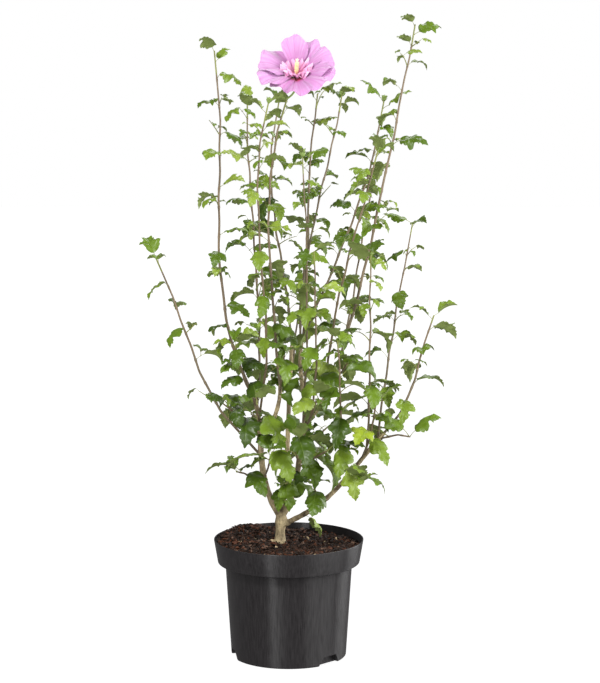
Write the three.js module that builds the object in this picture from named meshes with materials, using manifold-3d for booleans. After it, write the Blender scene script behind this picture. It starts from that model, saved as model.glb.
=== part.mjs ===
// Rose of sharon (Hibiscus syriacus): a young many-stemmed shrub, in leaf and with one open
// flower, growing in a round plastic nursery pot filled with bark compost.
//
// Millimetres, +Z up. The origin is the centre of the pot's flat underside. +X runs to the side of
// the long low stem, and the flower looks along -Y.
//
// Every limb runs from a foot on the limb that carries it to a tip, with one bow and one sway.
// Every leafy stem branches by the same seeded rule: nodes at a spacing, turned about the stem from
// one to the next, and at each node one leaf or a spur with two.

import * as THREE from 'three';
import { mergeVertices } from 'three/addons/utils/BufferGeometryUtils.js';
import Module from 'manifold-3d';

const wasm = await Module();
wasm.setup();

// ---- driving dimensions ----

const GAP = 0.3; // clearance between a piece and the one that carries it
const WELD = 1e-4; // corners nearer than this are one

// nursery pot, 5 litres
const POT_HEIGHT = 178;
const RIM_RADIUS = 112.5;
const BAND_FOOT_RADIUS = 106.5; // lower edge of the plain band round the rim
const BAND_HEIGHT = 35;
const RIM_BEVEL = [0.6, 2]; // of the band's upper outer edge: inwards, down
const WALL_TOP_RADIUS = 95.5; // wall just under the band
const BASE_RADIUS = 86.5;
const WALL = 1.8;
const FLOOR = 2.4;
const POT_SIDES = 44;
const NOTCH_WIDTH = 24; // drainage notches in the bottom edge
const NOTCH_HEIGHT = 9;
const NOTCH_DEPTH = 10;
const NOTCH_TURNS = [-51, 76, 200]; // degrees from +X

// compost
const SOIL_LEVEL = 170; // at the trunk
const SOIL_FLAT = 30; // radius of the level patch round the trunk's foot
const SOIL_FALL = [-0.035, -0.042]; // slope of the surface beyond it, along X and Y
const SOIL_RINGS = [0, 0.4, 0.72, 1]; // as parts of the compost's radius
const SOIL_SIDES = 22;

// trunk
const TRUNK_FOOT = [-13, 5];
const TRUNK_TIP = [-10, 5, 214];
const TRUNK_BOW = [-1, 0, 0];
const TRUNK_RADII = [10.4, 8.0, 7.2, 7.0, 7.6, 9.2, 8.8, 6.0]; // flare, stem, knot, top
const TRUNK_SIDES = 12;
const GROUND_BLOCK = [80, 80, 20]; // cuts the trunk's foot level with the compost

// boughs: bare, woody limbs. on, at: the limb that carries it and how far along; bow, sway: how
// far the middle and the quarters stand off the straight line; thick: radius at foot and tip
const SWAY_SHAPE = 10.4; // makes the sway the largest stand-off of its curve
const LINE_STEPS = 40; // chords that a limb's length is taken along
const BOUGH_SIDES = 6;
const BOUGH_STEPS = 6;
const BOUGHS = [
  { name: 'bough_left', on: 'trunk', at: 0.85,
    tip: [-51, -10, 393], bow: [-10, 0, 4], sway: -5, thick: [4.8, 3.3] },
  { name: 'bough_right', on: 'trunk', at: 0.62,
    tip: [141, -40, 346], bow: [10, -4, -10], sway: 5, thick: [4.9, 3.2] },
  { name: 'bough_centre', on: 'trunk', at: 0.9,
    tip: [29, 0, 358], bow: [5, -4, 3], sway: 4, thick: [4.6, 3.7] },
  { name: 'bough_middle', on: 'trunk', at: 0.9,
    tip: [5, 62, 463], bow: [2, 6, 4], sway: 1, thick: [4.2, 2.7] },
  { name: 'bough_inner', on: 'bough_left', at: 0.6,
    tip: [-13, -22, 414], bow: [9, -5, 5], sway: 0, thick: [3.2, 2.7] },
  { name: 'bough_upright', on: 'bough_centre', at: 0.96,
    tip: [22, 42, 481], bow: [-5, 3, 0], sway: 2, thick: [3.4, 2.8] },
  { name: 'bough_slant', on: 'bough_centre', at: 1,
    tip: [75, 3, 445], bow: [6, 0, -3], sway: 0, thick: [3.5, 2.9] },
];

// leafy stems: bare is the stretch without leaves, gap the distance between nodes, leaf the length
// of the blades low on the stem and at its tip, turn the way the leaf at the tip points
const STEMS = [
  { name: 'stem_far_left', on: 'bough_left', at: 0.5,
    tip: [-194, -50, 609], bow: [-18, 0, -9], sway: -8, thick: [2.7, 1.2],
    bare: 0.2, gap: 36, leaf: [54, 42], turn: 110, seed: 253 },
  { name: 'stem_left_tall', on: 'bough_left', at: 1,
    tip: [-107, -34, 906], bow: [-23, -8, 1], sway: -11, thick: [2.9, 1.1],
    bare: 0.08, gap: 36, leaf: [54, 40], turn: -130, seed: 382 },
  { name: 'stem_left_back', on: 'bough_left', at: 0.9,
    tip: [-62, 105, 834], bow: [4, 18, 0], sway: 4, thick: [2.5, 1.1],
    bare: 0.1, gap: 36, leaf: [54, 40], turn: 100, seed: 286 },
  { name: 'stem_left_front', on: 'bough_left', at: 0.8,
    tip: [-28, -120, 833], bow: [-3, -18, 7], sway: 10, thick: [2.4, 1.1],
    bare: 0.14, gap: 38, leaf: [54, 38], turn: 0, seed: 168 },
  { name: 'stem_flower', on: 'bough_inner', at: 1,
    tip: [-2, -34, 836], bow: [-21, -6, 4], sway: 4, thick: [2.6, 1.3],
    bare: 0.06, gap: 36, leaf: [54, 38], turn: -180, seed: 36 },
  { name: 'stem_middle_back', on: 'bough_middle', at: 1,
    tip: [-14, 135, 830], bow: [-16, 8, 0], sway: 6, thick: [2.6, 1.1],
    bare: 0.06, gap: 38, leaf: [54, 40], turn: 140, seed: 133 },
  { name: 'stem_middle_short', on: 'bough_middle', at: 0.8,
    tip: [26, 135, 600], bow: [2, 10, 0], sway: 0, thick: [2.1, 1.1],
    bare: 0.12, gap: 36, leaf: [54, 44], turn: 50, seed: 329 },
  { name: 'stem_upright', on: 'bough_upright', at: 1,
    tip: [43, 20, 843], bow: [-3, -2, 2], sway: 2, thick: [2.6, 1.1],
    bare: 0.06, gap: 36, leaf: [54, 38], turn: -10, seed: 20 },
  { name: 'stem_upright_back', on: 'bough_upright', at: 0.8,
    tip: [82, 155, 837], bow: [-11, 14, 1], sway: -5, thick: [2.5, 1.1],
    bare: 0.1, gap: 38, leaf: [54, 40], turn: -50, seed: 359 },
  { name: 'stem_bud', on: 'bough_centre', at: 0.8,
    tip: [20, -72, 756], bow: [7, -14, 2], sway: 0, thick: [2.2, 0.9],
    bare: 0.2, gap: 38, leaf: [54, 36], turn: -130, seed: 329 },
  { name: 'stem_front', on: 'bough_centre', at: 0.6,
    tip: [36, -118, 623], bow: [14, -16, 1], sway: 3, thick: [2.2, 1.0],
    bare: 0.2, gap: 36, leaf: [56, 42], turn: -20, seed: 168 },
  { name: 'stem_right_tall', on: 'bough_slant', at: 1,
    tip: [186, 20, 944], bow: [7, 0, 1], sway: 1, thick: [3.0, 1.1],
    bare: 0.06, gap: 38, leaf: [54, 44], turn: -130, seed: 1382 },
  { name: 'stem_right_inner', on: 'bough_slant', at: 0.85,
    tip: [129, 112, 709], bow: [3, 14, -2], sway: 2, thick: [2.3, 1.0],
    bare: 0.1, gap: 38, leaf: [54, 40], turn: 80, seed: 76 },
  { name: 'stem_right_front', on: 'bough_slant', at: 0.45,
    tip: [127, -112, 766], bow: [-10, -16, 7], sway: -3, thick: [2.4, 1.1],
    bare: 0.1, gap: 38, leaf: [54, 40], turn: -100, seed: 44 },
  { name: 'stem_right_slant', on: 'bough_upright', at: 0.93,
    tip: [143, 70, 831], bow: [13, 0, -4], sway: -3, thick: [2.6, 1.1],
    bare: 0.08, gap: 38, leaf: [54, 42], turn: 175, seed: 145 },
  { name: 'stem_low_right_front', on: 'bough_right', at: 0.82,
    tip: [118, -92, 614], bow: [2, -14, 5], sway: 1, thick: [2.3, 1.0],
    bare: 0.1, gap: 36, leaf: [54, 42], turn: 50, seed: 214 },
  { name: 'stem_low_right_back', on: 'bough_right', at: 0.94,
    tip: [186, 50, 650], bow: [-2, 16, 0], sway: 0, thick: [2.4, 1.0],
    bare: 0.1, gap: 36, leaf: [54, 44], turn: 150, seed: 291 },
  { name: 'stem_low_right', on: 'bough_right', at: 1,
    tip: [213, -40, 521], bow: [9, 0, -4], sway: 4, thick: [2.6, 1.2],
    bare: 0.1, gap: 30, leaf: [58, 44], turn: 5, seed: 39 },
  { name: 'stem_right_short', on: 'bough_right', at: 0.6,
    tip: [70, -105, 492], bow: [-2, -12, 0], sway: -1, thick: [2.1, 1.1],
    bare: 0.16, gap: 32, leaf: [58, 46], turn: -110, seed: 434 },
];

// tufts: short leafy shoots low on the boughs, that close the foot of the crown on all sides
const TUFTS = [
  { name: 'tuft_left_low', on: 'bough_left', at: 0.22,
    tip: [-78, -30, 286], bow: [-4, 0, 8], sway: 0, thick: [1.9, 1.2],
    bare: 0.3, gap: 17, leaf: [56, 48], turn: -170, seed: 25 },
  { name: 'tuft_left', on: 'bough_left', at: 0.66,
    tip: [-98, -45, 392], bow: [-4, 0, 6], sway: 0, thick: [1.9, 1.2],
    bare: 0.3, gap: 17, leaf: [58, 50], turn: -105, seed: 352 },
  { name: 'tuft_front_left', on: 'bough_left', at: 0.72,
    tip: [-46, -88, 398], bow: [0, -8, 4], sway: 0, thick: [1.9, 1.2],
    bare: 0.3, gap: 17, leaf: [58, 50], turn: -60, seed: 369 },
  { name: 'tuft_front', on: 'bough_inner', at: 0.8,
    tip: [-6, -90, 472], bow: [0, -8, 2], sway: 0, thick: [1.9, 1.2],
    bare: 0.34, gap: 17, leaf: [58, 50], turn: -100, seed: 359 },
  { name: 'tuft_front_low', on: 'bough_centre', at: 0.4,
    tip: [12, -88, 342], bow: [0, -8, 2], sway: 0, thick: [1.9, 1.2],
    bare: 0.3, gap: 17, leaf: [60, 52], turn: -70, seed: 214 },
  { name: 'tuft_front_right', on: 'bough_centre', at: 0.5,
    tip: [58, -72, 326], bow: [0, -8, 2], sway: 0, thick: [1.9, 1.2],
    bare: 0.34, gap: 17, leaf: [60, 52], turn: -20, seed: 200 },
  { name: 'tuft_right_low', on: 'bough_right', at: 0.46,
    tip: [92, -84, 286], bow: [0, -6, 4], sway: 0, thick: [1.9, 1.2],
    bare: 0.3, gap: 17, leaf: [60, 50], turn: -80, seed: 112 },
  { name: 'tuft_right', on: 'bough_right', at: 0.76,
    tip: [128, -70, 400], bow: [4, -4, 0], sway: 0, thick: [1.9, 1.2],
    bare: 0.26, gap: 17, leaf: [58, 50], turn: -20, seed: 232 },
  { name: 'tuft_right_tip', on: 'bough_right', at: 0.95,
    tip: [178, -62, 344], bow: [6, -6, 6], sway: 0, thick: [1.9, 1.2],
    bare: 0.24, gap: 17, leaf: [58, 50], turn: 5, seed: 420 },
  { name: 'tuft_foot', on: 'bough_middle', at: 0.14,
    tip: [-12, -32, 262], bow: [0, -6, 2], sway: 0, thick: [1.8, 1.2],
    bare: 0.4, gap: 17, leaf: [54, 50], turn: -95, seed: 214 },
  { name: 'tuft_left_high', on: 'bough_left', at: 0.95,
    tip: [-78, -55, 478], bow: [-4, -6, 2], sway: 0, thick: [1.9, 1.2],
    bare: 0.32, gap: 17, leaf: [58, 50], turn: 170, seed: 230 },
  { name: 'tuft_centre_low', on: 'bough_left', at: 0.32,
    tip: [-24, -78, 322], bow: [0, -8, 2], sway: 0, thick: [1.9, 1.2],
    bare: 0.32, gap: 17, leaf: [58, 50], turn: -55, seed: 295 },
  { name: 'tuft_middle', on: 'bough_centre', at: 0.85,
    tip: [43, -88, 406], bow: [0, -8, 2], sway: 0, thick: [1.9, 1.2],
    bare: 0.32, gap: 17, leaf: [58, 50], turn: -110, seed: 246 },
  { name: 'tuft_right_high', on: 'bough_slant', at: 0.7,
    tip: [86, -70, 456], bow: [2, -8, 2], sway: 0, thick: [1.9, 1.2],
    bare: 0.32, gap: 17, leaf: [58, 50], turn: -50, seed: 241 },
  { name: 'tuft_right_under', on: 'bough_right', at: 0.68,
    tip: [108, -92, 280], bow: [0, -4, -6], sway: 0, thick: [1.9, 1.2],
    bare: 0.36, gap: 17, leaf: [58, 50], turn: -100, seed: 334 },
  { name: 'tuft_foot_right', on: 'bough_right', at: 0.3,
    tip: [36, -42, 268], bow: [0, -4, 2], sway: 0, thick: [1.8, 1.2],
    bare: 0.4, gap: 17, leaf: [52, 48], turn: -110, seed: 197 },
  { name: 'tuft_back_left', on: 'bough_middle', at: 0.4,
    tip: [-58, 92, 352], bow: [-4, 6, 4], sway: 0, thick: [1.9, 1.2],
    bare: 0.3, gap: 18, leaf: [58, 50], turn: 110, seed: 71 },
  { name: 'tuft_back', on: 'bough_middle', at: 0.62,
    tip: [2, 128, 392], bow: [0, 8, 4], sway: 0, thick: [1.9, 1.2],
    bare: 0.3, gap: 18, leaf: [58, 50], turn: 75, seed: 467 },
  { name: 'tuft_back_right', on: 'bough_middle', at: 0.3,
    tip: [74, 84, 344], bow: [6, 6, 4], sway: 0, thick: [1.9, 1.2],
    bare: 0.34, gap: 18, leaf: [58, 50], turn: 10, seed: 138 },
];

// leaf: a blade with two side lobes on a stalk, lengths as parts of the blade's length
const STALK_LENGTH = 0.26;
const STALK_RADIUS = 0.0135;
const STALK_BACK = 0.6; // upper corners of the stalk's section against its lower one
const STALK_RISE = [28, 60]; // degrees above level
const LEAF_LOBE = [0.41, 0.44, 0.135]; // tip of a side lobe: across, along, up
const LEAF_NOTCH = [0.23, 0.6, 0.1425]; // between the side lobe and the middle one
const LEAF_MIDDLE = [0.5, 0.15]; // height of the arch: along, up
const LEAF_THICK = 0.026;
const LEAF_PITCH = [[-72, -12], [-36, 16]]; // degrees above level, at the crown's foot and top
const CROWN_SPAN = [250, 900]; // heights of the crown's foot and top
const LEAF_ROLL = 28; // degrees either way
const LEAF_STRAY = 12;
const LEAF_VARY = [0.72, 1.15]; // share of the length that the place on the stem gives
const LEAF_CLEAR = 0.5; // a leaf nearer than this to another limb or mass is left out

// branching
const SEEDS_PER_STEM = 100;
const NODE_TURN = 120; // degrees about the stem from one node to the next, either way
const NODE_STRAY = 18;
const NODE_SPREAD = [0.7, 1.3]; // share of the gap
const NODE_KINK = 1.2; // how far the stem swings to a leaf's side past its node
const SPUR_SHARE = 0.22; // of the nodes
const SPUR_LENGTH = [12, 27]; // a spur is a long stalk that carries a second leaf
const SPUR_LEAF = 0.86; // length of a spur's leaves against the stem's
const SPUR_SIDE = [0.62, 112]; // place of its second leaf along it, turn off its line
const CREST = [[0.99, 0], [0.965, 160]]; // leaves at a stem's tip: place along it, turn
const CREST_PITCH = [[-10, 25], [8, 42]];
const STEM_SIDES = 3;

// flower at the tip of one stem: broad petals round a ruff of small ones
const FLOWER_STEM = 'stem_flower';
const FLOWER_THROAT = [11, -66, 881];
const FLOWER_FACE = [0.1, -0.82, 0.56];
const PETALS = 5;
const PETAL_LENGTH = 54;
const PETAL_HALF_WIDTH = 26;
const PETAL_CUP = 13; // how far the throat lies behind the petals' edge
const PETAL_THICK = 1.6;
const PETAL_ROOT = [-0.04, -2]; // along, and in millimetres behind the middle
const PETAL_EDGE = [[0.3, 0.5, 0.35], [0.72, 1, 0.9], [0.95, 0.55, 1]]; // along, across, up
const PETAL_TIP = [1, 0, 0.8];
const PETAL_MIDDLE = [0.6, 0, 0.6];
const PETAL_TURN = 90; // degrees of the first petal from level
const PETAL_STRAY = 5; // degrees that a petal turns either way
const PETAL_VARY = [0.94, 1.05]; // share of its length and width
const PETAL_LIFT = [-2.4, 2.4]; // that its edge stands further back or ahead
const FLOWER_SEED = 13;
const RUFF_LENGTH = 24;
const RUFF_HALF_WIDTH = 10.8;
const RUFF_RISE = 10;
const RUFF_TURN = 126;
const COLUMN_LENGTH = 22;
const COLUMN_RADII = [2.4, 2];
const COLUMN_SIDES = 5;
const CALYX_LENGTH = 20;
const CALYX_RADIUS = 7;
const CALYX_SHOULDER = 0.35; // where the calyx has reached its full width
const CALYX_SIDES = 6;
const CALYX_SINK = 3; // of the calyx into the petals' foot
const FLOWER_STALK_RADII = [1.3, 1.5];
const FLOWER_SINK = 1; // of the stalk into the calyx

// ---- solids ----

// The seeded draw: numbers between low and high, the same on every machine.
function draws(seed) {
  let state = seed;
  const draw = (low, high) => {
    state = (state * 16807) % 2147483647;
    return low + ((high - low) * state) / 2147483647;
  };
  draw(0, 1);
  draw(0, 1);
  return draw;
}

function solidOf(geometry) {
  const bare = geometry.clone();
  bare.deleteAttribute('normal');
  bare.deleteAttribute('uv');
  const merged = mergeVertices(bare, WELD);
  return new wasm.Manifold(new wasm.Mesh({
    numProp: 3,
    vertProperties: new Float32Array(merged.attributes.position.array),
    triVerts: new Uint32Array(merged.index.array),
  }));
}

function meshOf(name, solid, material) {
  const { vertProperties, triVerts } = solid.getMesh();
  const geometry = new THREE.BufferGeometry();
  geometry.setAttribute('position', new THREE.Float32BufferAttribute(vertProperties, 3));
  geometry.setIndex(new THREE.Uint32BufferAttribute(triVerts, 1));
  const mesh = new THREE.Mesh(geometry, material);
  mesh.name = name;
  return mesh;
}

// A closed solid from its corners and its triangles.
function facets(corners, triangles) {
  const geometry = new THREE.BufferGeometry();
  const numbers = corners.flatMap((corner) => corner.toArray());
  geometry.setAttribute('position', new THREE.Float32BufferAttribute(numbers, 3));
  geometry.setIndex(triangles.flat());
  return solidOf(geometry);
}

// The largest of the bodies that a cut or a join leaves, without the hollows sealed inside it.
function mainBody(solid) {
  return solid.decompose().reduce((best, body) => (body.volume() > best.volume() ? body : best));
}

// ---- limbs ----

// The middle line of a limb: from foot to tip, with a bow to one side and a sway along X.
function limbLine(foot, limb) {
  const tip = new THREE.Vector3(...limb.tip);
  const bow = new THREE.Vector3(...limb.bow);
  return (t) => {
    const wave = limb.sway * SWAY_SHAPE * t * (1 - t) * (1 - 2 * t);
    return foot.clone().lerp(tip, t).addScaledVector(bow, 4 * t * (1 - t)).add(
      new THREE.Vector3(wave, 0, 0));
  };
}

function lineLength(line) {
  let length = 0;
  for (let i = 0; i < LINE_STEPS; i += 1) {
    length += line(i / LINE_STEPS).distanceTo(line((i + 1) / LINE_STEPS));
  }
  return length;
}

// A round limb through rings of a centre and a radius, made by bending a plain cylinder. A facet
// of an upright one faces the given turn.
function tube(rings, sides, turn = 0) {
  const last = rings.length - 1;
  const start = THREE.MathUtils.degToRad(turn + 90) - Math.PI / sides;
  const geometry = new THREE.CylinderGeometry(1, 1, 1, sides, last, false, start);
  const position = geometry.attributes.position;
  const frames = rings.map((ring, i) => {
    const before = rings[Math.max(i - 1, 0)].at;
    const after = rings[Math.min(i + 1, last)].at;
    const along = after.clone().sub(before).normalize();
    const across = new THREE.Vector3(0, 1, 0).cross(along).normalize();
    return { across, side: along.clone().cross(across) };
  });
  for (let i = 0; i < position.count; i += 1) {
    const k = Math.round((position.getY(i) + 0.5) * last);
    const p = rings[k].at.clone()
      .addScaledVector(frames[k].across, position.getX(i) * rings[k].radius)
      .addScaledVector(frames[k].side, -position.getZ(i) * rings[k].radius);
    position.setXYZ(i, p.x, p.y, p.z);
  }
  return solidOf(geometry);
}

// The same limb grown by a gap all round, for cutting and for keeping clear of it.
function sleeve(rings, sides, turn, gap) {
  const grow = gap / Math.cos(Math.PI / sides);
  const wide = rings.map(({ at, radius }) => ({ at: at.clone(), radius: radius + grow }));
  const end = wide[wide.length - 1];
  const along = end.at.clone().sub(wide[wide.length - 2].at).normalize();
  end.at.addScaledVector(along, gap);
  return tube(wide, sides, turn);
}

function taper(thick, t) {
  return thick[0] + (thick[1] - thick[0]) * t;
}

// ---- leaves ----

function heading(turn, rise) {
  const a = THREE.MathUtils.degToRad(turn);
  const b = THREE.MathUtils.degToRad(rise);
  return new THREE.Vector3(Math.cos(a) * Math.cos(b), Math.sin(a) * Math.cos(b), Math.sin(b));
}

function drawLeaf(draw, root, turn, length, pitch = LEAF_PITCH) {
  const height = THREE.MathUtils.clamp(
    (root.z - CROWN_SPAN[0]) / (CROWN_SPAN[1] - CROWN_SPAN[0]), 0, 1);
  const leaf = {
    root,
    turn: turn + draw(-LEAF_STRAY, LEAF_STRAY),
    rise: draw(...STALK_RISE),
    pitch: draw(
      taper([pitch[0][0], pitch[1][0]], height), taper([pitch[0][1], pitch[1][1]], height)),
    roll: draw(-LEAF_ROLL, LEAF_ROLL),
    length: length * draw(...LEAF_VARY),
  };
  leaf.stalk = STALK_LENGTH * leaf.length;
  return leaf;
}

// The corners of a leaf: two rings of a three-sided stalk, five points of the blade's outline, and
// its middle above and below. A margin makes the leaf longer and thicker.
function leafCorners(leaf, margin) {
  const stalk = heading(leaf.turn, leaf.rise);
  const base = leaf.root.clone().addScaledVector(stalk, leaf.stalk);
  const along = heading(leaf.turn, leaf.pitch);
  const across = heading(leaf.turn + 90, 0)
    .applyAxisAngle(along, THREE.MathUtils.degToRad(leaf.roll));
  const up = along.clone().cross(across);
  const size = leaf.length + 2 * margin;
  const blade = (u, v, w) => base.clone()
    .addScaledVector(across, u * size)
    .addScaledVector(along, v * size)
    .addScaledVector(up, w * size);
  const side = heading(leaf.turn + 90, 0).multiplyScalar(STALK_RADIUS * leaf.length + margin);
  const over = stalk.clone().cross(side);
  const ring = (at) => [
    at.clone().sub(over),
    at.clone().add(side).addScaledVector(over, STALK_BACK),
    at.clone().sub(side).addScaledVector(over, STALK_BACK),
  ];
  const mirror = ([u, v, w]) => [-u, v, w];
  const [middle, arch] = LEAF_MIDDLE;
  const half = LEAF_THICK / 2 + margin / leaf.length;
  return [
    ...ring(leaf.root),
    ...ring(base),
    blade(...LEAF_LOBE),
    blade(...LEAF_NOTCH),
    blade(0, 1, 0),
    blade(...mirror(LEAF_NOTCH)),
    blade(...mirror(LEAF_LOBE)),
    blade(0, middle, arch + half),
    blade(0, middle, arch - half),
  ];
}

const BLADE_TOP = [
  [4, 5, 11], [5, 10, 11], [10, 9, 11], [9, 8, 11], [8, 7, 11], [7, 6, 11], [6, 4, 11]];
const BLADE_UNDER = [
  [4, 6, 12], [6, 7, 12], [7, 8, 12], [8, 9, 12], [9, 10, 12], [10, 5, 12]];
const STALK_SIDES = [
  [0, 2, 1], [0, 1, 4], [0, 4, 3], [1, 2, 5], [1, 5, 4], [2, 0, 3], [2, 3, 5]];

// A whole leaf, or its blade alone, closed where the stalk meets it.
function leafSolid(leaf, margin = 0) {
  return facets(leafCorners(leaf, margin), [
    ...STALK_SIDES, ...BLADE_TOP, ...BLADE_UNDER, [3, 4, 12], [5, 3, 12]]);
}

function bladeSolid(leaf, margin) {
  const corners = leafCorners(leaf, margin).slice(4);
  const faces = [...BLADE_TOP, ...BLADE_UNDER, [5, 4, 12]];
  return facets(corners, faces.map((face) => face.map((corner) => corner - 4)));
}

// The nodes of a leafy stem from its bare foot to its tip: place, turn and what grows there.
function stemNodes(stem, line) {
  const draw = draws(stem.seed);
  const step = stem.gap / lineLength(line);
  const nodes = [];
  let rank = stem.turn;
  for (let t = stem.bare; t < 1 - step / 2; t += step * draw(...NODE_SPREAD)) {
    nodes.push({
      t,
      turn: rank + draw(-NODE_STRAY, NODE_STRAY),
      spur: draw(0, 1) < SPUR_SHARE,
      seed: stem.seed * SEEDS_PER_STEM + nodes.length,
    });
    rank += draw(0, 1) < 0.5 ? NODE_TURN : -NODE_TURN;
  }
  return nodes;
}

// The rings of a leafy stem: its foot, a bend halfway from each node to the next, and its tip.
function stemRings(stem, line, nodes) {
  const rings = [{ t: 0, at: line(0), radius: stem.thick[0] }];
  for (let k = 1; k < nodes.length; k += 1) {
    const t = (nodes[k - 1].t + nodes[k].t) / 2;
    const at = line(t).addScaledVector(heading(nodes[k - 1].turn, 0), NODE_KINK);
    rings.push({ t, at, radius: taper(stem.thick, t) });
  }
  rings.push({ t: 1, at: line(1), radius: stem.thick[1] });
  return rings;
}

// The point on the stem's own middle at a place along it.
function rootAt(rings, t) {
  const k = rings.findIndex((ring) => ring.t >= t);
  const share = (t - rings[k - 1].t) / (rings[k].t - rings[k - 1].t);
  return rings[k - 1].at.clone().lerp(rings[k].at, share);
}

// What grows at a node: one leaf, or a spur, whose long stalk carries a second leaf.
function nodeLeaves(stem, node, root) {
  const draw = draws(node.seed);
  const length = taper(stem.leaf, node.t);
  if (!node.spur) {
    return [drawLeaf(draw, root, node.turn, length)];
  }
  const end = drawLeaf(draw, root, node.turn, length * SPUR_LEAF);
  end.stalk = draw(...SPUR_LENGTH);
  const [along, off] = SPUR_SIDE;
  const sideRoot = root.clone().addScaledVector(heading(end.turn, end.rise), end.stalk * along);
  const sign = draw(0, 1) < 0.5 ? 1 : -1;
  return [end, drawLeaf(draw, sideRoot, end.turn + sign * off, length * SPUR_LEAF)];
}

// The leaves at the very tip of a stem.
function crestLeaves(stem, rings) {
  const draw = draws((stem.seed + 1) * SEEDS_PER_STEM - 1);
  return CREST.map(([t, turn]) => drawLeaf(
    draw, rootAt(rings, t), stem.turn + turn, stem.leaf[1], CREST_PITCH));
}

// ---- pot and compost ----

function rotor(profile, sides) {
  const points = profile.map(([r, z]) => new THREE.Vector2(r, z));
  return solidOf(new THREE.LatheGeometry(points, sides).rotateX(Math.PI / 2));
}

function notchBlocks(margin) {
  return NOTCH_TURNS.map((turn) => {
    const reach = NOTCH_DEPTH + margin;
    const block = new THREE.BoxGeometry(2 * reach, NOTCH_WIDTH + 2 * margin,
      2 * (NOTCH_HEIGHT + margin));
    block.translate(BASE_RADIUS, 0, 0);
    return solidOf(block.rotateZ(THREE.MathUtils.degToRad(turn)));
  });
}

// Inner face of the pot at a height, less a gap.
function potInside(gap) {
  const bandFoot = POT_HEIGHT - BAND_HEIGHT + WALL;
  return {
    floor: [BASE_RADIUS - WALL - gap, FLOOR + gap],
    step: [WALL_TOP_RADIUS - WALL - gap, bandFoot + gap],
    bandFoot: [BAND_FOOT_RADIUS - WALL - gap, bandFoot + gap],
    rim: [RIM_RADIUS - WALL - gap, POT_HEIGHT],
  };
}

function potSolid() {
  const inside = potInside(0);
  const bandFoot = POT_HEIGHT - BAND_HEIGHT;
  const outer = [
    [0, 0], [BASE_RADIUS, 0], [WALL_TOP_RADIUS, bandFoot], [BAND_FOOT_RADIUS, bandFoot],
    [RIM_RADIUS, POT_HEIGHT - RIM_BEVEL[1]], [RIM_RADIUS - RIM_BEVEL[0], POT_HEIGHT],
  ];
  const shell = rotor([
    ...outer, inside.rim, inside.bandFoot, inside.step, inside.floor, [0, FLOOR],
  ], POT_SIDES);
  const envelope = rotor([...outer, [0, POT_HEIGHT]], POT_SIDES);
  const pockets = wasm.Manifold.union(notchBlocks(WALL)).intersect(envelope);
  return shell.add(pockets).subtract(wasm.Manifold.union(notchBlocks(0)));
}

function soilSolid() {
  const { floor, step, bandFoot, rim } = potInside(GAP);
  const slope = (rim[0] - bandFoot[0]) / (rim[1] - bandFoot[1]);
  const wallAt = (z) => bandFoot[0] + slope * (z - bandFoot[1]);
  const edge = wallAt(SOIL_LEVEL);
  const top = SOIL_RINGS.map((part) => [edge * part, SOIL_LEVEL]).reverse();
  const points = [[0, floor[1]], floor, step, bandFoot, ...top];
  const lathe = new THREE.LatheGeometry(
    points.map(([r, z]) => new THREE.Vector2(r, z)), SOIL_SIDES).rotateX(Math.PI / 2);
  const position = lathe.attributes.position;
  for (let i = 0; i < position.count; i += 1) {
    if (position.getZ(i) > bandFoot[1] + 1) {
      const x = position.getX(i);
      const y = position.getY(i);
      const reach = Math.hypot(x, y);
      const beyond = Math.max(0, reach - SOIL_FLAT) / Math.max(reach, 1);
      const z = SOIL_LEVEL + beyond * (SOIL_FALL[0] * x + SOIL_FALL[1] * y);
      const inward = Math.min(1, wallAt(z) / edge);
      position.setXYZ(i, x * inward, y * inward, z);
    }
  }
  return solidOf(lathe).subtract(wasm.Manifold.union(notchBlocks(WALL + GAP)));
}

// ---- flower ----

// A broad thin petal: out is the way it points from the flower's middle, face the way the flower
// looks, and rise how far its edge stands before the middle.
function petalSolid(middle, out, face, length, halfWidth, rise) {
  const across = face.clone().cross(out);
  const at = ([v, u, w], ahead = 0) => middle.clone()
    .addScaledVector(out, v * length)
    .addScaledVector(across, u * halfWidth)
    .addScaledVector(face, w * rise + ahead);
  const corners = [
    at([PETAL_ROOT[0], 0, 0], PETAL_ROOT[1]),
    ...PETAL_EDGE.map((point) => at(point)),
    at(PETAL_TIP),
    ...PETAL_EDGE.map(([v, u, w]) => at([v, -u, w])).reverse(),
  ];
  const round = corners.length;
  corners.push(at(PETAL_MIDDLE, PETAL_THICK / 2), at(PETAL_MIDDLE, -PETAL_THICK / 2));
  const triangles = [];
  for (let i = 0; i < round; i += 1) {
    const next = (i + 1) % round;
    triangles.push([next, i, round], [i, next, round + 1]);
  }
  return facets(corners, triangles);
}

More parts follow.
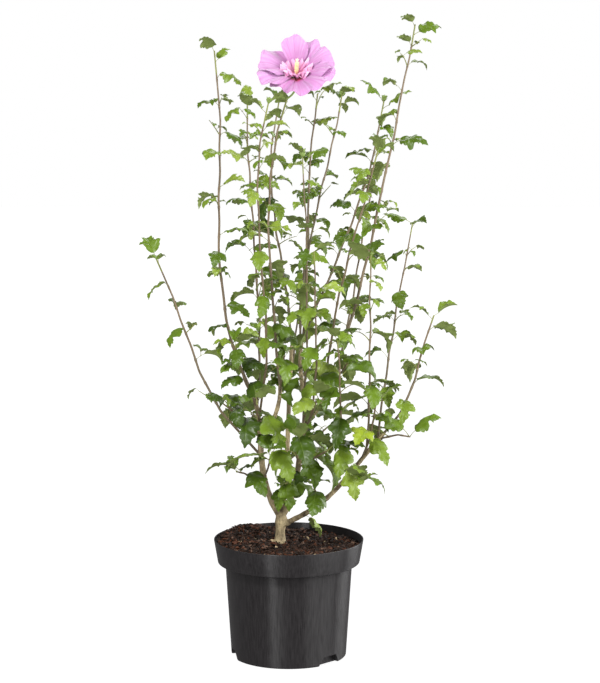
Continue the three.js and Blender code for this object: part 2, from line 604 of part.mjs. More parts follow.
function flowerSolids(stemTip) {
  const face = new THREE.Vector3(...FLOWER_FACE).normalize();
  const level = new THREE.Vector3(0, 0, 1).cross(face).normalize();
  const rise = face.clone().cross(level);
  const middle = new THREE.Vector3(...FLOWER_THROAT).addScaledVector(face, -PETAL_CUP);
  const ahead = (distance) => middle.clone().addScaledVector(face, distance);
  const draw = draws(FLOWER_SEED);
  const solids = [
    tube([
      { at: stemTip, radius: FLOWER_STALK_RADII[0] },
      { at: ahead(-CALYX_LENGTH), radius: FLOWER_STALK_RADII[1] },
    ], STEM_SIDES),
    tube([
      { at: ahead(-CALYX_LENGTH - FLOWER_SINK), radius: FLOWER_STALK_RADII[1] },
      { at: ahead(-CALYX_LENGTH * (1 - CALYX_SHOULDER)), radius: CALYX_RADIUS },
      { at: ahead(CALYX_SINK), radius: CALYX_RADIUS },
    ], CALYX_SIDES),
    tube([
      { at: ahead(FLOWER_SINK), radius: COLUMN_RADII[0] },
      { at: ahead(COLUMN_LENGTH), radius: COLUMN_RADII[1] },
    ], COLUMN_SIDES),
  ];
  const rounds = [
    [PETAL_TURN, PETAL_LENGTH, PETAL_HALF_WIDTH, PETAL_CUP],
    [RUFF_TURN, RUFF_LENGTH, RUFF_HALF_WIDTH, PETAL_CUP + RUFF_RISE],
  ];
  for (let i = 0; i < PETALS; i += 1) {
    rounds.forEach(([turn, length, halfWidth, lift]) => {
      const a = THREE.MathUtils.degToRad(
        turn + (360 / PETALS) * i + draw(-PETAL_STRAY, PETAL_STRAY));
      const out = level.clone().multiplyScalar(Math.cos(a)).addScaledVector(rise, Math.sin(a));
      solids.push(petalSolid(middle, out, face, length * draw(...PETAL_VARY),
        halfWidth * draw(...PETAL_VARY), lift + draw(...PETAL_LIFT)));
    });
  }
  return solids;
}

// ---- assembly ----

const bark = new THREE.MeshStandardMaterial({ color: 0x8f8460, roughness: 0.85, metalness: 0 });
const foliage = new THREE.MeshStandardMaterial({ color: 0x4f7f2f, roughness: 0.6, metalness: 0 });
const plastic = new THREE.MeshStandardMaterial({ color: 0x2c2d30, roughness: 0.45, metalness: 0 });
const compost = new THREE.MeshStandardMaterial({ color: 0x3a2a20, roughness: 0.95, metalness: 0 });

const plant = new THREE.Group();
plant.add(meshOf('pot', potSolid(), plastic));
plant.add(meshOf('compost', soilSolid(), compost));

// limbs that later growth is cut by and kept clear of
const lines = {};
const sleeves = [];
const others = [];

function keepClear(owner, solid) {
  others.push({ owner, solid, box: solid.boundingBox() });
}

const trunkFoot = new THREE.Vector3(...TRUNK_FOOT, SOIL_LEVEL + GAP);
lines.trunk = limbLine(trunkFoot, { tip: TRUNK_TIP, bow: TRUNK_BOW, sway: 0 });
const trunkRings = TRUNK_RADII.map((radius, i) => (
  { at: lines.trunk(i / (TRUNK_RADII.length - 1)), radius }));
const levelCut = solidOf(new THREE.BoxGeometry(...GROUND_BLOCK)
  .translate(trunkFoot.x, trunkFoot.y, trunkFoot.z - GROUND_BLOCK[2] / 2));
const trunk = tube(trunkRings, TRUNK_SIDES).subtract(levelCut);
plant.add(meshOf('trunk', trunk, bark));
keepClear('trunk', trunk);
sleeves.push(sleeve(trunkRings, TRUNK_SIDES, 0, GAP));

function cutClear(solid) {
  return mainBody(sleeves.reduce((rest, cutter) => rest.subtract(cutter), solid));
}

BOUGHS.forEach((bough) => {
  const line = limbLine(lines[bough.on](bough.at), bough);
  const rings = Array.from({ length: BOUGH_STEPS + 1 }, (_, i) => {
    const t = i / BOUGH_STEPS;
    return { at: line(t), radius: taper(bough.thick, t) };
  });
  const solid = cutClear(tube(rings, BOUGH_SIDES));
  lines[bough.name] = line;
  sleeves.push(sleeve(rings, BOUGH_SIDES, 0, GAP));
  plant.add(meshOf(bough.name, solid, bark));
  keepClear(bough.name, solid);
});

// every stem stands before the first leaf, so that no leaf takes a stem's place
const grown = [...STEMS, ...TUFTS].map((stem) => {
  const line = limbLine(lines[stem.on](stem.at), stem);
  const nodes = stemNodes(stem, line);
  const rings = stemRings(stem, line, nodes);
  const solid = cutClear(tube(rings, STEM_SIDES, stem.turn));
  sleeves.push(sleeve(rings, STEM_SIDES, stem.turn, GAP));
  keepClear(stem.name, solid);
  return { stem, nodes, rings, solid, line };
});

function meets(solid, other) {
  const { min, max } = solid.boundingBox();
  return [0, 1, 2].every((i) => min[i] < other.box.max[i] && other.box.min[i] < max[i])
    && !solid.intersect(other.solid).isEmpty();
}

// A leaf grows where it is clear of every other limb and mass, and its blade of its own mass.
function hasRoom(owner, leaf) {
  const whole = leafSolid(leaf, LEAF_CLEAR);
  const blade = bladeSolid(leaf, LEAF_CLEAR);
  return others.every((other) => !meets(other.owner === owner ? blade : whole, other));
}

grown.forEach(({ stem, nodes, rings, solid, line }) => {
  const pieces = [solid];
  const growLeaf = (leaf) => {
    const room = hasRoom(stem.name, leaf);
    if (room) {
      pieces.push(leafSolid(leaf));
      keepClear(stem.name, pieces[pieces.length - 1]);
    }
    return room;
  };
  if (stem.name === FLOWER_STEM) {
    flowerSolids(line(1)).forEach((piece) => {
      pieces.push(piece);
      keepClear(stem.name, piece);
    });
  }
  nodes.forEach((node) => nodeLeaves(stem, node, rootAt(rings, node.t)).every(growLeaf));
  if (stem.name !== FLOWER_STEM) {
    crestLeaves(stem, rings).forEach(growLeaf);
  }
  plant.add(meshOf(stem.name, mainBody(wasm.Manifold.union(pieces)), foliage));
});

export default plant;
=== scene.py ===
import bpy
import math
import random
from mathutils import Matrix, Quaternion, Vector, noise
from mathutils.bvhtree import BVHTree
from mathutils.kdtree import KDTree


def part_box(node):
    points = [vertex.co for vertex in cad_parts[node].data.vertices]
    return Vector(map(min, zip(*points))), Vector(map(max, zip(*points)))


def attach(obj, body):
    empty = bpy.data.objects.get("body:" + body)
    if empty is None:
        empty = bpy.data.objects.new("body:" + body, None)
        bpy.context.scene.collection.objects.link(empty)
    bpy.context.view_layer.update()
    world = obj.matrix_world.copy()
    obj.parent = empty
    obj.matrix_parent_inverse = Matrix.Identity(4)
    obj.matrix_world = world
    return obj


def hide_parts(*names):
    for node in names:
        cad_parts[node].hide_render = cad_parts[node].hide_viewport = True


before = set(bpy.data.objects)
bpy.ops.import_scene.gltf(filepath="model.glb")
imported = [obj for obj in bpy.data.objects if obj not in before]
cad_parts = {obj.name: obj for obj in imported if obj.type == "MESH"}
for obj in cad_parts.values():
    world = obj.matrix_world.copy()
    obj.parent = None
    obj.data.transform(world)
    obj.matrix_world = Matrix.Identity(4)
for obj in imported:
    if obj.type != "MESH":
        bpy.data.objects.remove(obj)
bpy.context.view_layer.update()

# ---- nursery pot ----
# A round pot of about 5 litres, injection moulded in dark grey recycled polypropylene: a tapered
# wall under a plain band, with three drainage notches let into the foot. It stands on its flat
# underside and carries the compost.
POT_HEIGHT = 0.178
RIM_RADIUS = 0.1125
BAND_FOOT_RADIUS = 0.1065
BAND_HEIGHT = 0.035
WALL_TOP_RADIUS = 0.0955
BASE_RADIUS = 0.0865
WALL = 0.0018
FLOOR = 0.0024
POT_SIDES = 192
NOTCH_WIDTH = (0.042, 0.026)  # at the foot and at the top
NOTCH_HEIGHT = 0.0138
NOTCH_DEPTH = 0.010
NOTCH_TURNS = (-45, 75, 194)
OUTSIDE_EASE = [0, 0.0025, 0.0008, 0.0016, 0.0011]  # how far each corner of the wall is rounded
INSIDE_EASE = [0.0006, 0.0008, 0.002, 0.003, 0]
EASE_STEPS = 5
PLASTIC_DARK = (24, 22, 23)
# The lighter streak tone is partly flow lines in the plastic and partly painted sheen standing in for
# streaky reflections.
PLASTIC_FLOW_AND_SHEEN = (42, 40, 41)
STREAK_SCALE = 620
STREAK_STRETCH = (1, 1, 0.006)
STREAK_DEPTH = 0.00009


def colour(red, green, blue):
    """A colour as a painter's card states it, 0 to 255, as the light that a surface returns."""
    def light(value):
        value /= 255
        return value / 12.92 if value <= 0.04045 else ((value + 0.055) / 1.055) ** 2.4
    return (light(red), light(green), light(blue), 1)


def feed(node, inputs):
    """Sets a node's sockets: a number or colour on the socket itself, another's output by a link."""
    for socket, value in inputs.items():
        if isinstance(value, bpy.types.NodeSocket):
            node.id_data.links.new(value, node.inputs[socket])
        else:
            node.inputs[socket].default_value = value


def lay(tree, kind, inputs, **settings):
    """Adds a shader node with its settings and inputs, and gives back its outputs."""
    node = tree.nodes.new("ShaderNode" + kind)
    for name, value in settings.items():
        setattr(node, name, value)
    feed(node, inputs)
    return node.outputs


def new_finish(name):
    """An empty material, its node tree and its surface shader."""
    material = bpy.data.materials.new(name)
    material.use_nodes = True
    tree = material.node_tree
    return material, tree, tree.nodes["Principled BSDF"]


def grain(tree, scale, stretch=(1, 1, 1), detail=3.0, roughness=0.55):
    """Noise that lies in the object's own metres, drawn out along an axis where stretch is small."""
    place = lay(tree, "TexCoord", {})["Object"]
    place = lay(tree, "Mapping", {"Vector": place, "Scale": stretch})["Vector"]
    return lay(tree, "TexNoise", {"Vector": place, "Scale": scale, "Detail": detail,
                                  "Roughness": roughness})["Fac"]


def ramp(tree, value, low, high, start=0.35, end=0.65):
    """Spreads a noise between two colours."""
    spread = tree.nodes.new("ShaderNodeValToRGB")
    for stop, position, tone in zip(spread.color_ramp.elements, (start, end), (low, high)):
        stop.position = position
        stop.color = tone
    feed(spread, {"Fac": value})
    return spread.outputs["Color"]


def between(tree, value, low, high):
    """Spreads a noise between two numbers."""
    return lay(tree, "MapRange", {"Value": value, "From Min": 0.3, "From Max": 0.7,
                                  "To Min": low, "To Max": high})["Result"]


def relief(surface, height, depth):
    """Raises the surface by a noise, to a depth in metres."""
    bump = lay(surface.id_data, "Bump", {"Height": height, "Strength": 1.0, "Distance": depth})
    feed(surface, {"Normal": bump["Normal"]})


def moulded_plastic():
    """Dark moulded plastic, drawn upright out of its mould: gloss that runs out along the wall."""
    material, tree, surface = new_finish("moulded_plastic")
    streaks = grain(tree, STREAK_SCALE, STREAK_STRETCH, 3.0, 0.6)
    speckle = grain(tree, 1900, detail=1.0)
    # Painted sheen: the colour's light streaks are partly flow lines and partly painted sheen for the lamps'
    # streaky reflections.
    feed(surface, {
        "Base Color": ramp(tree, streaks, colour(*PLASTIC_DARK), colour(*PLASTIC_FLOW_AND_SHEEN), 0.3, 0.72),
        "Roughness": between(tree, streaks, 0.33, 0.42),
        "Specular IOR Level": 0.36,
        "Anisotropic": 0.95,
        "Anisotropic Rotation": 0.25,
        "Tangent": lay(tree, "Tangent", {}, direction_type="RADIAL", axis="Z")["Tangent"]})
    both = lay(tree, "Mix", {"Factor": 0.35, "A": streaks, "B": speckle})["Result"]
    relief(surface, both, STREAK_DEPTH)
    return material


def mesh_object(name, corners, faces, tones=None, materials=()):
    """A new object from its corners and faces; tones gives each face's place among the materials."""
    mesh = bpy.data.meshes.new(name)
    mesh.from_pydata([tuple(corner) for corner in corners], [], faces)
    for material in materials:
        mesh.materials.append(material)
    if tones:
        mesh.polygons.foreach_set("material_index", tones)
    mesh.update()
    piece = bpy.data.objects.new(name, mesh)
    bpy.context.scene.collection.objects.link(piece)
    return piece


def soften(piece, degrees):
    """Smooth shading, with the edges sharper than the angle kept crisp."""
    piece.data.polygons.foreach_set("use_smooth", [True] * len(piece.data.polygons))
    piece.data.set_sharp_from_angle(angle=math.radians(degrees))


def shares(count):
    """Even steps from 0 to 1."""
    return [k / count for k in range(count + 1)]


def rounded(points, radii):
    """An outline whose corners are eased by arcs; a radius of 0 keeps the corner."""
    outline = []
    for i, (x, y) in enumerate(points):
        here = Vector((x, y))
        if radii[i] == 0:
            outline.append(here)
            continue
        back = Vector(points[i - 1]) - here
        on = Vector(points[i + 1]) - here
        reach = min(radii[i], back.length * 0.45, on.length * 0.45)
        start = here + back.normalized() * reach
        end = here + on.normalized() * reach
        for t in shares(EASE_STEPS):
            outline.append(start * (1 - t) ** 2 + here * 2 * t * (1 - t) + end * t ** 2)
    return outline


def around(reach, turn, height):
    """A place by its reach from the upright axis, its turn round it in radians, and its height."""
    return reach * math.cos(turn), reach * math.sin(turn), height


def turned(name, outline):
    """A closed body turned round the upright axis; its outline starts and ends on the axis."""
    inner = outline[1:-1]
    corners = [(0, 0, outline[0][1]), (0, 0, outline[-1][1])]
    for k in range(POT_SIDES):
        corners += [around(r, math.tau * k / POT_SIDES, z) for r, z in inner]
    count = len(inner)
    faces = []
    for k in range(POT_SIDES):
        here = 2 + k * count
        there = 2 + (k + 1) % POT_SIDES * count
        faces.append((0, there, here))
        faces.append((1, here + count - 1, there + count - 1))
        faces += [(here + i, there + i, there + i + 1, here + i + 1) for i in range(count - 1)]
    return mesh_object(name, corners, faces)


def apply_modifiers(piece):
    """Turns what a piece's modifiers make into its own mesh."""
    graph = bpy.context.evaluated_depsgraph_get()
    result = bpy.data.meshes.new_from_object(piece.evaluated_get(graph))
    piece.modifiers.clear()
    piece.data = result


def combine(piece, other, operation):
    """Joins another body to a piece, keeps what both hold, or cuts it away."""
    step = piece.modifiers.new("combine", "BOOLEAN")
    step.object = other
    step.operation = operation
    step.solver = "EXACT"
    apply_modifiers(piece)
    bpy.data.objects.remove(other)


def notch_block(turn, margin):
    """The space of a drainage notch, wider at the foot, or of the moulded pocket round it."""
    low, high = (width / 2 + margin for width in NOTCH_WIDTH)
    top = NOTCH_HEIGHT + margin
    inner = BASE_RADIUS - NOTCH_DEPTH - margin
    outer = BASE_RADIUS + NOTCH_DEPTH
    corners = [(r, y, z) for r in (inner, outer)
               for y, z in ((-low, -top), (low, -top), (low, 0), (high, top), (-high, top), (-low, 0))]
    sides = [(i, (i + 1) % 6, (i + 1) % 6 + 6, i + 6) for i in range(6)]
    block = mesh_object("notch", corners, [(5, 4, 3, 2, 1, 0), (6, 7, 8, 9, 10, 11)] + sides)
    block.data.transform(Matrix.Rotation(math.radians(turn), 4, "Z"))
    return block


band_foot = POT_HEIGHT - BAND_HEIGHT
pot_outside = [(0, 0), (BASE_RADIUS, 0), (WALL_TOP_RADIUS, band_foot),
               (BAND_FOOT_RADIUS, band_foot), (RIM_RADIUS, POT_HEIGHT)]
pot_inside = [(RIM_RADIUS - WALL, POT_HEIGHT), (BAND_FOOT_RADIUS - WALL, band_foot + WALL),
              (WALL_TOP_RADIUS - WALL, band_foot + WALL), (BASE_RADIUS - WALL, FLOOR), (0, FLOOR)]
pot = turned("pot_shell", rounded(pot_outside + pot_inside, OUTSIDE_EASE + INSIDE_EASE))
envelope_line = rounded(pot_outside + [(0, POT_HEIGHT)], OUTSIDE_EASE + [0])
for turn in NOTCH_TURNS:
    pocket = notch_block(turn, WALL)
    combine(pocket, turned("envelope", envelope_line), "INTERSECT")
    combine(pot, pocket, "UNION")
    combine(pot, notch_block(turn, 0), "DIFFERENCE")
pot.data.materials.clear()
pot.data.materials.append(moulded_plastic())
soften(pot, 32)
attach(pot, "root")
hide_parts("pot")

# ---- compost ----
# Moist composted bark that fills the pot nearly to its rim: a crumbly bed with loose chips of bark
# lying on it, heaped a little against the rim behind on the left and sunk on the right.
SOIL_LEVEL = 0.170
SOIL_FLAT = 0.030
SOIL_FALL = (-0.035, -0.042)
SOIL_GAP = 0.0003
SOIL_RINGS = 44
SOIL_SIDES = 132
HEAP_PLACE = (-0.070, 0.066)
HEAP_REACH = 0.058
HEAP_HEIGHT = 0.0115
SOIL_LUMPS = ((90, 0, 0.0016), (330, 5, 0.0009))  # how close, which layer of noise, how high
RIM_DROP = 0.001
EARTH_TONE = (22, 13, 8)
CHIP_COUNT = 2400
CHIP_LENGTH = (0.003, 0.011)
CRUMB_COUNT = 3200
CRUMB_SIZE = (0.0006, 0.0016)
CHIP_TONES = {
    "bark_chip_dark": (24, 14, 8), "bark_chip_brown": (42, 26, 17), "bark_chip_red": (70, 40, 25),
    "bark_chip_grey": (86, 66, 54), "bark_chip_pale": (160, 140, 110)}
EARTH_SPREAD = 0.4
CHIP_SPREAD = 0.22
CHIP_SHARES = (0.46, 0.31, 0.16, 0.06, 0.01)
CHIP_WIDTH = (0.35, 0.7)  # of its length
CHIP_THICKNESS = (0.14, 0.3)
CHIP_LIFT = 0.06  # of a bit's size, its middle above the bed
CRUMB_LIFT = 0.4
CHIP_SEED = 5
CRUMB_SEED = 6


def soil_height(x, y):
    """Height of the compost's surface."""
    reach = math.hypot(x, y)
    beyond = max(0, reach - SOIL_FLAT) / max(reach, 0.001)
    away = math.hypot(x - HEAP_PLACE[0], y - HEAP_PLACE[1]) / HEAP_REACH
    heap = HEAP_HEIGHT * math.exp(-away * away)
    lumps = sum(noise.noise((x * close, y * close, layer)) * high for close, layer, high in SOIL_LUMPS)
    return SOIL_LEVEL + beyond * (SOIL_FALL[0] * x + SOIL_FALL[1] * y) + heap + lumps


def soil_edge(z):
    """Radius of the pot's inner face at a height, less the gap that the compost keeps."""
    share = (z - band_foot - WALL) / (POT_HEIGHT - band_foot - WALL)
    return BAND_FOOT_RADIUS + (RIM_RADIUS - BAND_FOOT_RADIUS) * min(1, share) - WALL - SOIL_GAP


def bark_earth(name, tone, spread):
    """Damp crumbled bark, mottled a share darker and lighter than its tone."""
    material, tree, surface = new_finish(name)
    mottle = grain(tree, 260, detail=5.0, roughness=0.7)
    dark, light = (colour(*(min(255, value * share) for value in tone))
                   for share in (1 - spread, 1 + spread))
    feed(surface, {
        "Base Color": ramp(tree, mottle, dark, light, 0.32, 0.68),
        "Roughness": between(tree, mottle, 0.85, 0.5),
        "Specular IOR Level": 0.16})
    relief(surface, grain(tree, 900, (1, 0.35, 1), 4.0, 0.7), 0.0005)
    return material


def soil_bed():
    """The bed: a closed body with a lumpy top, an upright edge and a flat foot."""
    turns = [math.tau * k / SOIL_SIDES for k in range(SOIL_SIDES)]
    corners = [(0, 0, soil_height(0, 0))]
    for i in range(1, SOIL_RINGS + 1):
        for a in turns:
            r = soil_edge(SOIL_LEVEL) * i / SOIL_RINGS
            z = min(soil_height(r * math.cos(a), r * math.sin(a)), POT_HEIGHT - RIM_DROP)
            corners.append(around(min(r, soil_edge(z)), a, z))
    below = [(BAND_FOOT_RADIUS - WALL - SOIL_GAP, band_foot + WALL + SOIL_GAP),
             (WALL_TOP_RADIUS - WALL - SOIL_GAP, band_foot + WALL + SOIL_GAP),
             (BASE_RADIUS - WALL - NOTCH_DEPTH, NOTCH_HEIGHT + 3 * WALL)]
    for r, z in below:
        corners += [around(r, a, z) for a in turns]
    faces = [(0, 1 + k, 1 + (k + 1) % SOIL_SIDES) for k in range(SOIL_SIDES)]
    for i in range(SOIL_RINGS + len(below) - 1):
        here = 1 + i * SOIL_SIDES
        for k in range(SOIL_SIDES):
            on = (k + 1) % SOIL_SIDES
            faces.append((here + k, here + k + SOIL_SIDES, here + on + SOIL_SIDES, here + on))
    last = len(corners) - SOIL_SIDES
    faces.append([last + k for k in reversed(range(SOIL_SIDES))])
    return corners, faces


def chip(rand, length):
    """A broken flake of bark: a bent, tapered block with worn corners, round its own middle."""
    width = length * rand.uniform(*CHIP_WIDTH)
    thick = length * rand.uniform(*CHIP_THICKNESS)
    corners = []
    for x in (-1, 0, 1):
        bend = (1 - x * x) * thick * rand.uniform(-0.5, 0.8)
        for y, z in ((-1, -1), (1, -1), (1, 1), (-1, 1)):
            corners.append(Vector((
                x * length / 2 * rand.uniform(0.78, 1.1),
                y * width / 2 * rand.uniform(0.55, 1.1) * (1 - 0.3 * abs(x)),
                z * thick / 2 * rand.uniform(0.6, 1.2) + bend)))
    faces = [(3, 2, 1, 0), (8, 9, 10, 11)]
    for i in (0, 4):
        faces += [(i + k, i + (k + 1) % 4, i + 4 + (k + 1) % 4, i + 4 + k) for k in range(4)]
    return corners, faces


def crumb(rand, size):
    """A grain of compost: an uneven double pyramid."""
    corners = [Vector(axis) * size * rand.uniform(0.5, 1.2) for axis in (
        (1, 0, 0), (0, 1, 0), (-1, 0, 0), (0, -1, 0), (0, 0, 1), (0, 0, -1))]
    faces = [(k, (k + 1) % 4, 4) for k in range(4)] + [((k + 1) % 4, k, 5) for k in range(4)]
    return corners, faces


def gather(parts):
    """Joins (corners, faces, tone) parts into one list of each."""
    corners, faces, tones = [], [], []
    for part_corners, part_faces, tone in parts:
        start = len(corners)
        corners.extend(part_corners)
        faces.extend([start + index for index in face] for face in part_faces)
        tones.extend(tone if isinstance(tone, list) else [tone] * len(part_faces))
    return corners, faces, tones


def scattered(count, make, sizes, lift, seed):
    """Loose bits that lie on the bed, each turned its own way."""
    rand = random.Random(seed)
    parts = []
    for _ in range(count):
        size = rand.uniform(*sizes)
        r = (soil_edge(SOIL_LEVEL) - size * 0.6) * math.sqrt(rand.random())
        x, y, _ = around(r, rand.uniform(0, math.tau), 0)
        turn = Matrix.Rotation(rand.uniform(0, math.tau), 3, "Z")
        tilt = Matrix.Rotation(rand.gauss(0, 0.6), 3, "X") @ Matrix.Rotation(rand.gauss(0, 0.4), 3, "Y")
        corners, faces = make(rand, size)
        at = Vector((x, y, soil_height(x, y) + lift * size))
        tone = rand.choices(range(len(CHIP_SHARES)), CHIP_SHARES)[0]
        parts.append(([turn @ tilt @ corner + at for corner in corners], faces, tone))
    return parts


earth = bark_earth("compost_earth", EARTH_TONE, EARTH_SPREAD)
bed = mesh_object("compost_bed", *soil_bed(), materials=[earth])
soften(bed, 60)
chip_finishes = [bark_earth(name, tone, CHIP_SPREAD) for name, tone in CHIP_TONES.items()]
loose = (scattered(CHIP_COUNT, chip, CHIP_LENGTH, CHIP_LIFT, CHIP_SEED)
         + scattered(CRUMB_COUNT, crumb, CRUMB_SIZE, CRUMB_LIFT, CRUMB_SEED))
chips = mesh_object("compost_chips", *gather(loose), chip_finishes)
for piece in (bed, chips):
    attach(piece, "root")
    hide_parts("compost")

# ---- trunk and boughs ----
# The woody frame of the shrub: a short trunk with a flared foot and the swelling of an old graft,
# and seven slender boughs that part from it. They are one piece of wood under smooth bark.
TRUNK_FOOT = (-0.013, 0.005)
TRUNK_TIP = (-0.010, 0.005, 0.214)
TRUNK_BOW = (-0.001, 0, 0)
TRUNK_RADII = (0.0104, 0.0080, 0.0072, 0.0070, 0.0076, 0.0092, 0.0088, 0.0060)
FOOT_GAP = 0.0003
SWAY_SHAPE = 10.4
LIMB_KEYS = ("name", "on", "at", "tip", "bow", "sway", "thick")
BOUGHS = [dict(zip(LIMB_KEYS, row)) for row in (
    ("bough_left", "trunk", 0.85, (-0.051, -0.01, 0.393), (-0.01, 0, 0.004), -0.005, (0.0048, 0.0033)),
    ("bough_right", "trunk", 0.62, (0.141, -0.04, 0.346), (0.01, -0.004, -0.01), 0.005, (0.0037, 0.003)),
    ("bough_centre", "trunk", 0.9, (0.029, 0, 0.358), (0.005, -0.004, 0.003), 0.004, (0.0046, 0.0037)),
    ("bough_middle", "trunk", 0.9, (0.005, 0.062, 0.463), (0.002, 0.006, 0.004), 0.001, (0.0042, 0.0027)),
    ("bough_inner", "bough_left", 0.6, (-0.013, -0.022, 0.414), (0.009, -0.005, 0.005), 0, (0.0032, 0.0027)),
    ("bough_upright", "bough_centre", 0.96, (0.022, 0.042, 0.481), (-0.005, 0.003, 0), 0.002,
     (0.0034, 0.0028)),
    ("bough_slant", "bough_centre", 1, (0.075, 0.003, 0.445), (0.006, 0, -0.003), 0, (0.0035, 0.0029)),
)]
TRUNK_STEPS = 40
TRUNK_SIDES = 28
BOUGH_STEPS = 60
BOUGH_SIDES = 18
BOUGH_KNOTS = 5  # old nodes along a bough, each a slight swelling
KNOT_SPAN = (0.1, 0.95)
KNOT_CLOSE = 55  # how short a swelling is
KNOT_SWELL = 0.14
CUT_STEPS = 6
CUT_SIDES = 14
WOOD_GRAIN = 0.0009  # cell of the fused surface
BARK_PROUD = 0.00025  # how far the bark stands off the fused surface
BARK_RIPPLE = 0.00022
# The pale and deep patch tones are the bark's own, spread wider to stand in for lit and shaded sides:
# painted light and shade.
BARK_PALE_AND_PAINTED_LIGHT = (198, 180, 140)
BARK_DEEP_AND_PAINTED_SHADE = (84, 71, 51)
PORE_TONE = (150, 134, 104)
CREASE_TONE = (176, 168, 152)
WHITE = (1, 1, 1, 1)
OLD_CUT = ((-0.008, 0.004, 0.198), (0.0008, 0.001, 0.2015), 0.0036)  # pruned stub: from, to, radius


def limb_line(foot, limb):
    """The middle line of a limb: from foot to tip, with a bow to one side and a sway along X."""
    tip = Vector(limb["tip"])
    bow = Vector(limb["bow"])

    def line(t):
        wave = limb["sway"] * SWAY_SHAPE * t * (1 - t) * (1 - 2 * t)
        return foot.lerp(tip, t) + bow * (4 * t * (1 - t)) + Vector((wave, 0, 0))
    return line


def taper(thick, t):
    """A measure between its value at the foot and at the tip."""
    return thick[0] + (thick[1] - thick[0]) * t


def tube(points, radii, sides, tone=0):
    """A round closed limb along points; its tone is one for all faces, or a list of them."""
    corners, faces = [], []
    along = (points[1] - points[0]).normalized()
    side = along.orthogonal().normalized()
    for i, point in enumerate(points):
        ahead = points[min(i + 1, len(points) - 1)] - points[max(i - 1, 0)]
        turn = along.rotation_difference(ahead.normalized())
        along = ahead.normalized()
        side = (turn @ side).normalized()
        up = along.cross(side)
        for k in range(sides):
            a = math.tau * k / sides
            corners.append(point + (side * math.cos(a) + up * math.sin(a)) * radii[i])
    for i in range(len(points) - 1):
        here = i * sides
        for k in range(sides):
            on = (k + 1) % sides
            faces.append((here + k, here + on, here + sides + on, here + sides + k))
    corners.append(points[0] - (points[1] - points[0]).normalized() * radii[0] * 0.3)
    corners.append(points[-1] + along * radii[-1] * 0.7)
    start, end = len(corners) - 2, len(corners) - 1
    last = (len(points) - 1) * sides
    for k in range(sides):
        on = (k + 1) % sides
        faces.append((start, on, k))
        faces.append((end, last + k, last + on))
    return corners, faces, tone


def through(values, t):
    """A smooth course through evenly spaced values."""
    place = t * (len(values) - 1)
    i = min(int(place), len(values) - 2)
    share = place - i
    share = share * share * (3 - 2 * share)
    return values[i] * (1 - share) + values[i + 1] * share


def bark():
    """Smooth young bark: pale patches over grey brown, with fine creases and pores; the patches are spread
    wider as painted light and shade.
    """
    material, tree, surface = new_finish("smooth_bark")
    patches = grain(tree, 75, (1, 1, 0.5), 5.0, 0.65)
    wrinkles = grain(tree, 420, (1, 1, 0.28), 5.0, 0.65)
    specks = grain(tree, 900, (1, 1, 2.5), 1.5)
    # Painted light and shade: the patch contrast is both the bark's own patches and a stand-in for its lit
    # and shaded sides.
    tint = ramp(tree, patches, colour(*BARK_DEEP_AND_PAINTED_SHADE), colour(*BARK_PALE_AND_PAINTED_LIGHT), 0.34, 0.66)
    for marks, tone, end, strength in ((wrinkles, CREASE_TONE, 0.5, 0.9), (specks, PORE_TONE, 0.42, 0.7)):
        shade = ramp(tree, marks, colour(*tone), WHITE, 0.34, end)
        tint = lay(tree, "Mix", {"Factor": strength, "A": tint, "B": shade},
                   data_type="RGBA", blend_type="MULTIPLY")["Result"]
    feed(surface, {"Base Color": tint, "Roughness": between(tree, wrinkles, 0.62, 0.85)})
    relief(surface, wrinkles, 0.0009)
    return material


trunk_foot = Vector((*TRUNK_FOOT, SOIL_LEVEL + FOOT_GAP))
lines = {"trunk": limb_line(trunk_foot, dict(tip=TRUNK_TIP, bow=TRUNK_BOW, sway=0))}
limb_parts = [tube([lines["trunk"](t) for t in shares(TRUNK_STEPS)],
                   [through(TRUNK_RADII, t) for t in shares(TRUNK_STEPS)], TRUNK_SIDES)]
for bough in BOUGHS:
    line = limb_line(lines[bough["on"]](bough["at"]), bough)
    lines[bough["name"]] = line
    rand = random.Random(bough["name"])
    knots = [rand.uniform(*KNOT_SPAN) for _ in range(BOUGH_KNOTS)]
    radii = []
    for t in shares(BOUGH_STEPS):
        swelling = sum(math.exp(-((t - knot) * KNOT_CLOSE) ** 2) for knot in knots)
        radii.append(taper(bough["thick"], t) * (1 + KNOT_SWELL * swelling))
    limb_parts.append(tube([line(t) for t in shares(BOUGH_STEPS)], radii, BOUGH_SIDES))
cut_foot, cut_tip, cut_radius = OLD_CUT
cut_line = [Vector(cut_foot).lerp(Vector(cut_tip), t) for t in shares(CUT_STEPS)]
limb_parts.append(tube(cut_line, [cut_radius] * len(cut_line), CUT_SIDES))
wood = mesh_object("trunk_and_boughs", *gather(limb_parts))
fuse = wood.modifiers.new("fuse", "REMESH")
fuse.mode = "VOXEL"
fuse.voxel_size = WOOD_GRAIN
ease = wood.modifiers.new("ease", "SMOOTH")
ease.factor = 0.6
ease.iterations = 6
apply_modifiers(wood)
ways_out = [corner.normal.copy() for corner in wood.data.vertices]
for corner, out in zip(wood.data.vertices, ways_out):
    p = corner.co.copy()
    ripple = noise.noise((p.x * 420, p.y * 420, p.z * 120)) + 0.6 * noise.noise(p * 900)
    corner.co = p + out * (BARK_RIPPLE * ripple + BARK_PROUD)
wood.data.materials.append(bark())
soften(wood, 60)
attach(wood, "root")
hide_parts("trunk", *[bough["name"] for bough in BOUGHS])

# ---- leafy stems and tufts ----
# This year's shoots, each a mass of its own: a slender stem that bends a little at every node and
# carries three-lobed toothed leaves on stalks, spurs with a pair of leaves, and finer twigs.
SHOOT_KEYS = LIMB_KEYS + ("bare", "gap", "leaf", "turn", "seed")
